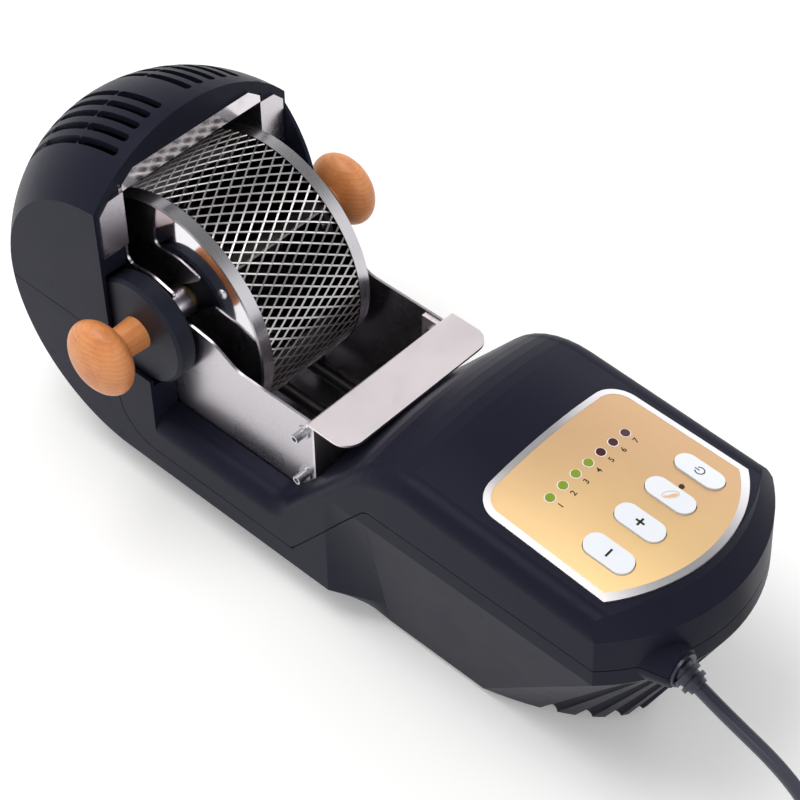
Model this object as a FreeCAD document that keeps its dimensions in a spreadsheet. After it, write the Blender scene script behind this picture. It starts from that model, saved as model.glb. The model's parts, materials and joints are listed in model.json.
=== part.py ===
import FreeCAD, Part
import math
import os
import Sketcher

# Home coffee bean roaster: an open mesh drum on two turned knobs sits in a stainless chamber,
# between a round vented hood and a sloping deck with the controls.
#
# Every piece is modelled about the drum's axis: X along the axis, -Y towards the control
# panel, +Z up. The last step moves each one by the same Placement, so that the row's origin
# is at the middle of the foot print, on the bench.

Vec = FreeCAD.Vector
doc = FreeCAD.newDocument("coffee_bean_roaster")

# ---------------------------------------------------------------------------------------
# Driving dimensions, in millimetres and degrees
# ---------------------------------------------------------------------------------------

DIMENSIONS = {
    # housing
    "axis_height": 98.0,        # drum axis above the bench
    "foot_height": 4.0,
    "foot_radius": 6.0,
    "body_half_width": 57.4,
    "shell_wall": 2.6,
    "hood_centre_back": 13.2,   # centre of the hood's arc, behind the drum axis
    "hood_centre_drop": 10.1,   # and below it
    "hood_radius": 97.0,        # at the middle of the hood
    "hood_side_radius": 70.0,   # at its flat sides
    "hood_mouth": 16.5,         # the hood's front face, behind the drum axis
    "deck_corner": 261.0,       # front corners of the deck, ahead of the drum axis
    "deck_bow": 25.0,           # how far the front bulges past its corners
    "waist_drop": 18.0,         # crease where the lower wall starts to lean in
    "base_half_width": 43.5,
    "base_corner": 195.0,
    "base_bow": 58.0,
    "base_fullness": 0.5,       # 0 runs straight to the tip of the base, 1 stays wide for longest
    "taper_start": 116.0,       # where the rear wall starts to turn into the leaning one
    "taper_end": 140.0,
    "deck_crown_radius": 213.0,
    "deck_shoulder": 9.0,
    "deck_height": 28.4,        # top of the ramp, above the drum axis
    "deck_fall": 0.055,         # fall of the deck towards its front, per millimetre
    "ramp_foot": 85.7,
    "ramp_top": 142.6,
    "ramp_foot_radius": 14.0,
    "ramp_top_radius": 45.0,
    "valley_drop": 42.0,
    "seam_rear_drop": 15.0,
    "seam_valley_drop": 69.5,
    "seam_front_drop": 9.5,
    "vent_width": 3.6,
    "vent_pitch": 6.7,
    "vent_first": 8.7,
    # chamber
    "plate_outer_half": 42.4,
    "sheet_thickness": 1.2,
    "chamber_front": 94.9,
    "chamber_floor_drop": 80.0,
    "liner_radius": 67.0,
    "slot_half_width": 6.9,
    "slot_angle": 41.0,         # lift direction, above the horizontal towards the front
    "tray_half_width": 45.7,
    "tray_reach": 119.6,
    "tray_corner_radius": 9.0,
    "stud_radius": 2.1,
    # drum
    "drum_radius": 57.5,
    "drum_half_length": 33.4,
    "rim_width": 6.0,
    "mesh_thickness": 0.9,
    "mesh_columns": 24,
    "mesh_rows": 6,
    "mesh_strand": 1.9,
    "cap_recess": 3.0,
    "vane_count": 4,
    "vane_depth": 12.0,
    "hub_radius": 8.5,
    "journal_radius": 5.0,
    "spigot_radius": 4.0,
    "running_clearance": 0.05,
    "disc_radius": 26.8,
    "disc_inner_face": 43.7,
    "disc_outer_face": 54.3,
    "knob_neck_radius": 8.0,
    "knob_head_radius": 18.5,
    "knob_head_centre": 76.0,
    "knob_head_half_depth": 10.5,
    # drive
    "gear_module": 1.5,
    "drum_gear_teeth": 27,
    "idler_teeth": 36,
    "pinion_teeth": 11,
    "gear_face": 3.4,
    "gear_inner_face": 43.8,
    "gear_backlash": 0.35,
    "motor_radius": 14.0,
    "motor_length": 30.0,
    # controls
    "panel_rear": 186.0,
    "panel_corner": 254.7,
    "panel_bow": 18.5,
    "panel_rear_half": 44.6,
    "panel_front_half": 46.0,
    "panel_corner_radius": 12.0,
    "panel_border": 3.0,
    "panel_thickness": 0.8,
    "led_row": 209.0,
    "led_pitch": 7.87,
    "led_radius": 2.0,
    "button_row": 243.0,
    "button_pitch": 19.2,
    "button_width": 10.4,
    "button_length": 23.0,
    "button_stand": 0.9,
    "button_gap": 0.3,
    "button_travel": 0.5,
    # heater and supply
    "element_radius": 3.2,
    "element_drop": 68.0,
    "element_pitch": 20.0,
    "cord_diameter": 7.0,
    "gland_x": -32.0,
    "gland_drop": 11.0,
}

sheet = doc.addObject("Spreadsheet::Sheet", "Sizes")
for row, (alias, value) in enumerate(DIMENSIONS.items(), start=1):
    sheet.set(f"A{row}", alias)
    sheet.set(f"B{row}", str(value))
    sheet.setAlias(f"B{row}", alias)
doc.recompute()


class Sizes:
    """The sheet's cells as plain numbers, with the few lengths that follow from them."""

    def __init__(self):
        for name in DIMENSIONS:
            setattr(self, name, float(sheet.get(name)))
        self.base_drop = self.axis_height - self.foot_height
        self.front_reach = self.deck_corner + self.deck_bow
        self.rear_reach = self.hood_centre_back + self.hood_radius
        self.axis_y = (self.front_reach - self.rear_reach) / 2
        self.plate_inner_half = self.plate_outer_half - self.sheet_thickness
        self.cap_face = self.drum_half_length - self.cap_recess
        self.drum_gear_radius = self.gear_module * self.drum_gear_teeth / 2
        self.idler_radius = self.gear_module * self.idler_teeth / 2
        self.pinion_radius = self.gear_module * self.pinion_teeth / 2
        self.gear_outer_face = self.gear_inner_face + self.gear_face


class Length:
    """A size with the text that binds it to the sheet, for objects that hold expressions."""

    def __init__(self, value, text):
        self.value = value
        self.text = text

    def _join(self, other, sign, value):
        text = other.text if isinstance(other, Length) else repr(float(other))
        return Length(value, f"({self.text} {sign} {text})")

    def __add__(self, other):
        return self._join(other, "+", self.value + getattr(other, "value", other))

    def __sub__(self, other):
        return self._join(other, "-", self.value - getattr(other, "value", other))

    def __mul__(self, other):
        return self._join(other, "*", self.value * getattr(other, "value", other))


def size(alias):
    """One cell of the sheet as a Length."""
    return Length(float(sheet.get(alias)), f"Sizes.{alias}")


s = Sizes()
SEATED = FreeCAD.Placement(Vec(0, s.axis_y, s.axis_height), FreeCAD.Rotation())
BIG = 400.0                     # reach of the cutting blocks, past every piece
parts = []                      # the finished sub-parts, in the order they are made


def keep(obj, label):
    """Name a finished sub-part and seat it on the bench."""
    obj.Label = label
    obj.Placement = SEATED
    parts.append(obj)
    return obj


def feature(label, shape):
    """A sub-part whose shape is worked out with Part's own functions."""
    obj = doc.addObject("Part::Feature", label)
    obj.Shape = shape
    return keep(obj, label)


# ---------------------------------------------------------------------------------------
# Geometry helpers
# ---------------------------------------------------------------------------------------

def rounded_edges(corners, radii, closed=True):
    """Straight runs joined by tangent arcs: one radius a corner, 0 leaves it sharp."""
    count = len(corners)
    starts, ends, arcs = [], [], []
    for i, (corner, radius) in enumerate(zip(corners, radii)):
        if radius <= 0 or (not closed and i in (0, count - 1)):
            starts.append(corner)
            ends.append(corner)
            arcs.append(None)
            continue
        back = (corners[i - 1] - corner).normalize()
        ahead = (corners[(i + 1) % count] - corner).normalize()
        half = back.getAngle(ahead) / 2
        reach = radius / math.tan(half)
        bisector = (back + ahead).normalize()
        middle = corner + bisector * (radius / math.sin(half) - radius)
        starts.append(corner + back * reach)
        ends.append(corner + ahead * reach)
        arcs.append(middle)
    edges = []
    for i in range(count):
        if arcs[i] is not None:
            edges.append(Part.Arc(starts[i], arcs[i], ends[i]).toShape())
        if i < count - 1 or closed:
            following = starts[(i + 1) % count]
            if ends[i].distanceToPoint(following) > 1e-6:
                edges.append(Part.makeLine(ends[i], following))
    return edges


def side_points(points, x=0.0):
    """Points given as (Y, Z) in the plane at X."""
    return [Vec(x, y, z) for y, z in points]


def side_prism(points, radii, x_from, x_to):
    """A prism across X whose (Y, Z) outline has rounded corners."""
    wire = Part.Wire(rounded_edges(side_points(points, x_from), radii))
    return Part.Face(wire).extrude(Vec(x_to - x_from, 0, 0))


def plan_prism(points, radii, z_from, z_to):
    """A prism along Z whose (X, Y) outline has rounded corners."""
    wire = Part.Wire(rounded_edges([Vec(x, y, z_from) for x, y in points], radii))
    return Part.Face(wire).extrude(Vec(0, 0, z_to - z_from))


def block(x_from, x_to, y_from, y_to, z_from, z_to):
    """An upright box between two corners."""
    return Part.makeBox(x_to - x_from, y_to - y_from, z_to - z_from, Vec(x_from, y_from, z_from))


def rod(x_from, x_to, radius, y=0.0, z=0.0):
    """A cylinder along X."""
    return Part.makeCylinder(radius, x_to - x_from, Vec(x_from, y, z), Vec(1, 0, 0))


def parallel(points, distance):
    """The corners of a line beside an open polyline, distance to its left."""
    lines = []
    for (y0, z0), (y1, z1) in zip(points, points[1:]):
        length = math.hypot(y1 - y0, z1 - z0)
        ny, nz = -(z1 - z0) / length, (y1 - y0) / length
        lines.append((y0 + ny * distance, z0 + nz * distance, y1 - y0, z1 - z0))
    out = [(lines[0][0], lines[0][1])]
    for (ya, za, ua, va), (yb, zb, ub, vb) in zip(lines, lines[1:]):
        cross = ua * vb - va * ub
        along = ((yb - ya) * vb - (zb - za) * ub) / cross
        out.append((ya + along * ua, za + along * va))
    ya, za, ua, va = lines[-1]
    out.append((ya + ua, za + va))
    return out


def bent_sheet(points, radii, thickness, half_width):
    """A folded sheet across X: the line is one face, the other lies to its left."""
    beside = parallel(points, thickness)
    turned = [0.0]
    for i in range(1, len(points) - 1):
        (y0, z0), (y1, z1), (y2, z2) = points[i - 1], points[i], points[i + 1]
        left = (y1 - y0) * (z2 - z1) - (z1 - z0) * (y2 - y1) > 0
        turned.append(max(0.0, radii[i] + (-thickness if left else thickness)) if radii[i] else 0.0)
    turned.append(0.0)
    front = rounded_edges(side_points(points, -half_width), radii, closed=False)
    back = rounded_edges(side_points(beside, -half_width), turned, closed=False)
    first = side_points([points[0], beside[0]], -half_width)
    last = side_points([points[-1], beside[-1]], -half_width)
    edges = front + back + [Part.makeLine(*first), Part.makeLine(*last)]
    wire = Part.Wire(Part.__sortEdges__(edges))
    return Part.Face(wire).extrude(Vec(2 * half_width, 0, 0))


def joined(shapes):
    """One solid from overlapping or touching ones."""
    return shapes[0].fuse(list(shapes[1:])).removeSplitter()


# ---------------------------------------------------------------------------------------
# The housing's outer form, also used set in by the wall for its hollow
# ---------------------------------------------------------------------------------------

def hood_barrel(inset):
    """The crowned drum-like form behind the mouth, whole."""
    half = s.body_half_width - inset
    centre = Vec(0, s.hood_centre_back, -s.hood_centre_drop)
    crown = Part.Arc(centre + Vec(-half, 0, s.hood_side_radius - inset),
                     centre + Vec(0, 0, s.hood_radius - inset),
                     centre + Vec(half, 0, s.hood_side_radius - inset)).toShape()
    ends = crown.Vertexes[0].Point, crown.Vertexes[1].Point
    feet = centre + Vec(-half, 0, 0), centre + Vec(half, 0, 0)
    wire = Part.Wire([Part.makeLine(feet[0], ends[0]), crown,
                      Part.makeLine(ends[1], feet[1]), Part.makeLine(feet[1], feet[0])])
    return Part.Face(wire).revolve(centre, Vec(1, 0, 0), 360)


def belly_section(y, half, shoulder_drop, foot_half, foot_drop, top, bulge, waist_half=None):
    """Cross-section of the body at Y: upright to the waist, down to a shoulder, then the base."""
    waist_half = waist_half or half
    def curve(sign):
        a, b = Vec(sign * half, y, -shoulder_drop), Vec(sign * foot_half, y, -foot_drop)
        outward = Vec(sign * (foot_drop - shoulder_drop), 0, -(half - foot_half)).normalize()
        return Part.Arc(a, (a + b) * 0.5 + outward * bulge, b).toShape()
    right, left = curve(1), curve(-1)
    edges = [
        Part.makeLine(Vec(-waist_half, y, top), Vec(waist_half, y, top)),
        Part.makeLine(Vec(waist_half, y, top), Vec(waist_half, y, -s.waist_drop)),
        Part.makeLine(Vec(waist_half, y, -s.waist_drop), Vec(half, y, -shoulder_drop)),
        right,
        Part.makeLine(Vec(foot_half, y, -foot_drop), Vec(-foot_half, y, -foot_drop)),
        left,
        Part.makeLine(Vec(-half, y, -shoulder_drop), Vec(-waist_half, y, -s.waist_drop)),
        Part.makeLine(Vec(-waist_half, y, -s.waist_drop), Vec(-waist_half, y, top)),
    ]
    return Part.Wire(edges)


def bowed_front(z, half, corner, bow):
    """The front edge of the deck at a height: one arc from corner to corner."""
    return Part.Arc(Vec(half, -corner, z), Vec(0, -corner - bow, z), Vec(-half, -corner, z)).toShape()


def base_front(inset, half, z):
    """The front edge of the base: a blunt bow whose sides sweep in from the corners."""
    corner = s.base_corner - inset
    curve = Part.BezierCurve()
    reach = corner + s.base_bow * 4 / 3
    curve.setPoles([Vec(half, -corner, z), Vec(half * s.base_fullness, -reach, z),
                    Vec(-half * s.base_fullness, -reach, z), Vec(-half, -corner, z)])
    return curve.toShape()


def plan_outline(front, rear):
    """Plan outline behind a front edge: straight sides back to the rear."""
    right, left = front.valueAt(front.FirstParameter), front.valueAt(front.LastParameter)
    back_right, back_left = Vec(right.x, -rear, right.z), Vec(left.x, -rear, left.z)
    return Part.Wire([Part.makeLine(back_left, back_right), Part.makeLine(back_right, right),
                      front, Part.makeLine(left, back_left)])


def body_form(inset):
    """The housing as one solid with a flat top, before the valley is taken out of it."""
    half = s.body_half_width - inset
    bottom = s.base_drop - inset
    side_bottom = s.hood_centre_drop + s.hood_side_radius - inset
    top = s.deck_height + 10
    # the hood's curve runs on below, and meets the flat base at foot_half
    sag = s.hood_radius - s.hood_side_radius
    crown_radius = (half ** 2 + sag ** 2) / (2 * sag)
    centre_drop = s.hood_centre_drop + s.hood_radius - inset - crown_radius
    foot_half = math.sqrt(crown_radius ** 2 - (bottom - centre_drop) ** 2)
    chord = math.hypot(half - foot_half, bottom - side_bottom)
    bulge = crown_radius - math.sqrt(crown_radius ** 2 - (chord / 2) ** 2)
    lean = (s.body_half_width - s.base_half_width) / (s.base_drop - s.waist_drop)
    knee_half = half - lean * (side_bottom - s.waist_drop)
    front_foot = half - lean * (bottom - s.waist_drop)
    rear = belly_section(s.hood_centre_back, half, side_bottom, foot_half, bottom, top, bulge)
    waist = belly_section(-s.taper_start, half, side_bottom, foot_half, bottom, top, bulge)
    fore = belly_section(-s.taper_end, knee_half, side_bottom, front_foot, bottom, top, 0.05, half)
    belly = Part.makeLoft([rear, waist], True, True)
    taper = Part.makeLoft([waist, fore], True, True)
    barrel = hood_barrel(inset).common(block(-BIG, BIG, -BIG, BIG, -bottom, BIG))
    return joined([barrel, belly, taper, front_form(inset, front_foot, bottom, top)])


def front_form(inset, front_foot, bottom, top):
    """The body ahead of the taper: a leaning wall, an upright band and a sloping shoulder."""
    half = s.body_half_width - inset
    crease = s.deck_height - s.deck_fall * (s.deck_corner - s.ramp_top) - 2 * s.deck_shoulder + 4
    levels = [
        (-s.waist_drop, half, s.deck_corner - inset, s.deck_bow),
        (crease, half, s.deck_corner - inset - 1, s.deck_bow - 1),
        (crease + s.deck_shoulder, half, s.deck_corner - inset - s.deck_shoulder, s.deck_bow - 2),
        (top, half, s.deck_corner - inset - 2 * s.deck_shoulder, s.deck_bow - 3),
    ]
    fronts = [base_front(inset, front_foot, -bottom)] + [bowed_front(*level) for level in levels]
    return Part.makeLoft([plan_outline(front, s.taper_end) for front in fronts], True, True)


def valley_path(lower=0.0):
    """The middle line of the valley, the ramp and the deck, as corners with radii."""
    deck_end = s.front_reach + 30
    deck_end_z = s.deck_height - s.deck_fall * (deck_end - s.ramp_top)
    points = [(60.0, -s.valley_drop), (-s.ramp_foot, -s.valley_drop),
              (-s.ramp_top, s.deck_height), (-deck_end, deck_end_z)]
    radii = [0, s.ramp_foot_radius, s.ramp_top_radius, 0]
    if lower:
        points = parallel(points, lower)
        radii = [0, s.ramp_foot_radius + lower, s.ramp_top_radius - lower, 0]
    return points, radii


def path_stations(points, radii, step_angle=8.0):
    """The corners of the rounded path: the ends of its straight runs and a few along each arc."""
    stations = []
    for edge in rounded_edges(side_points(points), radii, closed=False):
        pieces = 1
        if edge.Curve.TypeId == "Part::GeomCircle":
            pieces = round(math.degrees(edge.Length / edge.Curve.Radius) / step_angle)
        run = edge.discretize(pieces + 1)
        stations += run if edge.Vertexes[0].Point.y > edge.Vertexes[-1].Point.y else run[::-1]
    spaced = [stations[0]]
    for point in stations[1:]:
        if spaced[-1].y - point.y > 0.01:
            spaced.append(point)
    return spaced


def crowned_section(y, z, half, floor):
    """Closed cross-section at Y: crowned across, with round shoulders, wider than the body."""
    edge = half - s.deck_shoulder
    fall = s.deck_crown_radius - math.sqrt(s.deck_crown_radius ** 2 - edge ** 2)
    turn = math.sin(math.pi / 4) * s.deck_shoulder
    corner = Vec(edge, y, z - fall)
    middle = Vec(edge + turn, y, z - fall - s.deck_shoulder + turn)
    tip = Vec(half, y, z - fall - s.deck_shoulder)
    wide = Vec(half + 8, y, z - fall - s.deck_shoulder - 4)
    foot = Vec(half + 8, y, floor)

    def left(point):
        return Vec(-point.x, point.y, point.z)

    return Part.Wire([
        Part.makeLine(left(foot), left(wide)), Part.makeLine(left(wide), left(tip)),
        Part.Arc(left(tip), left(middle), left(corner)).toShape(),
        Part.Arc(left(corner), Vec(0, y, z), corner).toShape(),
        Part.Arc(corner, middle, tip).toShape(),
        Part.makeLine(tip, wide), Part.makeLine(wide, foot), Part.makeLine(foot, left(foot))])


def space_above_deck(inset=0.0):
    """Everything ahead of the hood's mouth and over the valley, the ramp and the deck."""
    points, radii = valley_path(inset)
    floor = -s.valley_drop - 45
    sections = [crowned_section(p.y, p.z, s.body_half_width - inset, floor)
                for p in path_stations(points, radii)]
    ground = Part.makeLoft(sections, True, True)
    air = block(-BIG, BIG, -BIG, s.hood_mouth + inset, floor + 10, BIG)
    return air.cut(ground)


# ---------------------------------------------------------------------------------------
# Helpers for pieces that stay bound to the sheet
# ---------------------------------------------------------------------------------------

def bound_rod(name, side, near, far, radius):
    """A cylinder along X from near to far, on one side of the middle."""
    made = doc.addObject("Part::Cylinder", name)
    made.Placement = FreeCAD.Placement(Vec(), FreeCAD.Rotation(Vec(0, 1, 0), 90))
    made.setExpression("Radius", radius.text)
    made.setExpression("Height", (far - near).text)
    start = near if side > 0 else far * -1.0
    made.setExpression("Placement.Base.x", start.text)
    return made


def fused(label, pieces):
    """A sub-part made of fused pieces."""
    made = doc.addObject("Part::MultiFuse", label)
    made.Shapes = pieces
    return keep(made, label)


def cut_from(label, base, tool):
    """A sub-part made by cutting one object from another."""
    made = doc.addObject("Part::Cut", label)
    made.Base = base
    made.Tool = tool
    return keep(made, label)


def turned(label, side, profile, bores=()):
    """A PartDesign body turned about the drum axis from (distance along X, radius) corners.

    Bores, given as (Y, Z, radius), are pocketed along the axis.
    """
    body = doc.addObject("PartDesign::Body", label)
    sketch = body.newObject("Sketcher::SketchObject", f"{label}_profile")
    plane = [item for item in body.Origin.OriginFeatures if item.Role == "XZ_Plane"][0]
    sketch.AttachmentSupport = [(plane, "")]
    sketch.MapMode = "FlatFace"
    corners = [(along * side, radius) for along, radius in profile]
    count = len(corners)
    for i, (along, radius) in enumerate(corners):
        after = corners[(i + 1) % count]
        sketch.addGeometry(Part.LineSegment(Vec(along.value, radius.value, 0),
                                            Vec(after[0].value, after[1].value, 0)), False)
    for i in range(count):
        sketch.addConstraint(Sketcher.Constraint("Coincident", i, 2, (i + 1) % count, 1))
    for i, corner in enumerate(corners):
        for kind, length in zip(("DistanceX", "DistanceY"), corner):
            place = sketch.addConstraint(Sketcher.Constraint(kind, -1, 1, i, 1, length.value))
            sketch.setExpression(f"Constraints[{place}]", length.text)
    turn = body.newObject("PartDesign::Revolution", f"{label}_turn")
    turn.Profile = sketch
    turn.ReferenceAxis = (sketch, ["H_Axis"])
    turn.Angle = 360
    body.Tip = turn
    if bores:
        holes = body.newObject("Sketcher::SketchObject", f"{label}_holes")
        plane = [item for item in body.Origin.OriginFeatures if item.Role == "YZ_Plane"][0]
        holes.AttachmentSupport = [(plane, "")]
        holes.MapMode = "FlatFace"
        for y, z, radius in bores:
            holes.addGeometry(Part.Circle(Vec(y, z, 0), Vec(0, 0, 1), radius), False)
        pocket = body.newObject("PartDesign::Pocket", f"{label}_bores")
        pocket.Profile = holes
        pocket.Type = 1
        pocket.Reversed = side > 0
        body.Tip = pocket
    return keep(body, label)


SIDES = (("left", -1), ("right", 1))


# ---------------------------------------------------------------------------------------
# Housing: lower and upper shell, feet and case screws
# ---------------------------------------------------------------------------------------

DISC_ROOM = 2.2                 # from the discs to the recesses round them
PLATE_ROOM = 0.5                # from the chamber to the shell's opening
SHELF_FRONT = 8.0               # the shelves under the discs, ahead of the drum axis
SHELF_TOP = 24.0
VENT_ARCS = ((31.0, 45.5), (47.8, 65.3), (67.6, 82.6))
VENTS_A_SIDE = 5
INTAKE_COUNT = 9
INTAKE_FIRST = 0.14             # as a share of the front edge, from its right corner
INTAKE_RADIUS = 3.4
INTAKE_TOP = 4.0                # below the waist
SEAM_GAP = 0.45                 # the groove along the parting line
SEAM_DEPTH = 0.9
CHEEK_REACH = 18.0              # how far the drive's cheek stands ahead of the mouth
CHEEK_TOP = 56.0
CHEEK_FOOT = 16.0
POST_RADIUS = 4.0
SCREW_RADIUS = 1.6
SCREW_HEAD_RADIUS = 3.1
FRONT_POST = (31.0, 172.0)      # across, and ahead of the drum axis
REAR_POST = (24.0, -86.0)
FEET = ((29.0, 207.0), (28.0, -18.0))
GLAND_BOSS_RADIUS = 8.8         # at its mouth
GLAND_BOSS_FLARE = 3.6          # by how much it widens towards the wall
GLAND_BOSS_REACH = 6.0
GLAND_SEAT_RADIUS = 5.6
BOSS_DEPTH = 8.0                # inside the front wall


def front_surface(x):
    """How far ahead of the drum axis the front band lies at X."""
    return s.deck_corner + s.deck_bow * (1 - (x / s.body_half_width) ** 2)


def below_seam():
    """Everything under the parting line of the two shells."""
    ramp_shift = 8.5
    points = [
        (BIG, -s.seam_rear_drop), (s.hood_mouth - 0.5, -s.seam_rear_drop),
        (s.hood_mouth - 0.5, -s.seam_valley_drop), (-s.ramp_foot - ramp_shift, -s.seam_valley_drop),
        (-s.ramp_top + 3, -s.seam_front_drop), (-BIG, -s.seam_front_drop),
        (-BIG, -BIG), (BIG, -BIG)]
    return side_prism(points, [0, 0, 22, 3, 8, 0, 0, 0], -BIG, BIG)


def shelf(inset, side):
    """The step that carries the valley's side lane up under a disc."""
    near = s.plate_outer_half + inset
    far = s.body_half_width - inset
    x_from, x_to = sorted((near * side, far * side))
    return block(x_from, x_to, -SHELF_FRONT + inset, s.hood_mouth + 10, -s.valley_drop - 20,
                 -SHELF_TOP - inset)


def hood_vents():
    """Slots that run round the hood over its middle, in two groups of five."""
    centre = Vec(0, s.hood_centre_back, -s.hood_centre_drop)
    half = s.vent_width / 2
    cutters = []
    for first, last in VENT_ARCS:
        arc = Part.makeCylinder(s.hood_radius + 10, s.vent_width, centre, Vec(1, 0, 0))
        wedge = [Vec(0, 0, 0)]
        for degrees in (first, (first + last) / 2, last):
            angle = math.radians(degrees)
            wedge.append(Vec(0, math.cos(angle), math.sin(angle)) * 200)
        wedge = Part.Face(Part.makePolygon([centre + point for point in wedge + wedge[:1]]))
        slot = arc.common(wedge.extrude(Vec(s.vent_width, 0, 0)))
        slot = slot.cut(rod(-1, s.vent_width + 1, s.hood_side_radius - 20,
                            s.hood_centre_back, -s.hood_centre_drop))
        slot.translate(Vec(-half, 0, 0))
        ends = []
        for degrees in (first, last):
            angle = math.radians(degrees)
            out = Vec(0, math.cos(angle), math.sin(angle))
            ends.append(Part.makeCylinder(half, 60, centre + out * (s.hood_side_radius - 20), out))
        slot = slot.fuse(ends)
        for side in (-1, 1):
            for i in range(VENTS_A_SIDE):
                copy = slot.copy()
                copy.translate(Vec(side * (s.vent_first + i * s.vent_pitch), 0, 0))
                cutters.append(copy)
    return cutters


def air_intakes():
    """Flutes that fan out over the leaning front wall, deep enough to open it."""
    upper = bowed_front(-s.waist_drop, s.body_half_width, s.deck_corner, s.deck_bow)
    lower = base_front(0, s.base_half_width, -s.base_drop)
    cutters = []
    for i in range(INTAKE_COUNT):
        share = INTAKE_FIRST + (1 - 2 * INTAKE_FIRST) * i / (INTAKE_COUNT - 1)
        head, foot = [edge.valueAt(edge.FirstParameter + share * (edge.LastParameter - edge.FirstParameter))
                      for edge in (upper, lower)]
        run = foot - head
        start = head + run * (INTAKE_TOP / (s.base_drop - s.waist_drop))
        cutters.append(Part.makeCylinder(INTAKE_RADIUS, run.Length, start, run))
    return cutters


def seam_groove():
    """A fine groove in the outer skin, on the upper shell's side of the parting line."""
    under = below_seam()
    band = []
    for shift in (-SEAM_GAP, SEAM_GAP):
        moved = under.copy()
        moved.translate(Vec(0, shift, SEAM_GAP))
        band.append(moved)
    core = body_form(SEAM_DEPTH).cut(space_above_deck(SEAM_DEPTH))
    return band[0].fuse(band[1]).cut([under, core])


def drive_cheek():
    """The right wall's round front edge, which covers the drum's gear."""
    x_from = s.disc_outer_face + 1.2
    rear, front = s.hood_mouth + s.shell_wall, s.hood_mouth - CHEEK_REACH
    top, foot = Vec(x_from, rear, CHEEK_TOP), Vec(x_from, front, CHEEK_FOOT)
    round_edge = Part.Arc(top, Vec(x_from, s.hood_mouth - CHEEK_REACH / 2, (CHEEK_TOP + CHEEK_FOOT) / 2 + 6.0),
                          foot).toShape()
    (oy, oz), _ = slot_frame()
    inner = foot - Vec(0, oy, oz) * (CHEEK_REACH - 2.0)
    back = Vec(x_from, rear, inner.z)
    wire = Part.Wire([round_edge, Part.makeLine(foot, inner), Part.makeLine(inner, back),
                      Part.makeLine(back, top)])
    return Part.Face(wire).extrude(Vec(s.body_half_width - x_from, 0, 0))


def deck_slab(low, high, length=170.0):
    """The layer from low to high over the deck's crowned surface."""
    along = Vec(0, -1, -s.deck_fall).normalize()
    up = Vec(0, -s.deck_fall, 1).normalize()
    top = Vec(0, -s.ramp_top, s.deck_height)
    axis = top - up * s.deck_crown_radius
    outer = Part.makeCylinder(s.deck_crown_radius + high, length, axis, along)
    return outer.cut(Part.makeCylinder(s.deck_crown_radius + low, length, axis, along))


def deck_height_at(x, ahead):
    """Height of the deck's surface at X, a distance ahead of the drum axis."""
    crown = s.deck_crown_radius - math.sqrt(s.deck_crown_radius ** 2 - x ** 2)
    return s.deck_height - s.deck_fall * (ahead - s.ramp_top) - crown


def capsule(x, grow, z_from, z_to):
    """A button's outline at X as an upright prism."""
    half_w, half_l = s.button_width / 2 + grow, s.button_length / 2 + grow
    y = -s.button_row
    points = [(x - half_w, y - half_l), (x + half_w, y - half_l),
              (x + half_w, y + half_l), (x - half_w, y + half_l)]
    return plan_prism(points, [half_w - 0.01] * 4, z_from, z_to)


BUTTONS = ("minus", "plus", "roast", "power")
LED_COUNT = 7
GREEN_LEDS = 4
STATUS_LED_OFFSET = 7.3         # from the roast button's middle
STATUS_LED_RADIUS = 1.1
HOLE_ROOM = 0.15


def button_x(index):
    """Middle of a button across the panel."""
    return (index - (len(BUTTONS) - 1) / 2) * s.button_pitch


def led_places():
    """Middle and radius of each of the row's lamps and the status lamp."""
    row = [((i - (LED_COUNT - 1) / 2) * s.led_pitch, s.led_row, s.led_radius)
           for i in range(LED_COUNT)]
    return row + [(button_x(2) + STATUS_LED_OFFSET, s.button_row, STATUS_LED_RADIUS)]


def control_openings():
    """The holes for buttons and lamps through deck and panel."""
    holes = [capsule(button_x(i), s.button_gap, 0, 60) for i in range(len(BUTTONS))]
    for x, ahead, radius in led_places():
        holes.append(Part.makeCylinder(radius + HOLE_ROOM, 60, Vec(x, -ahead, 0)))
    return holes


BOARD_TOP = 9.5                 # above the drum axis
BOARD_POSTS = ((34.0, 196.0), (34.0, 256.0))


def post(x, ahead, z_from, z_to, radius=POST_RADIUS):
    """An upright round post."""
    return Part.makeCylinder(radius, z_to - z_from, Vec(x, -ahead, z_from))


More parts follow.
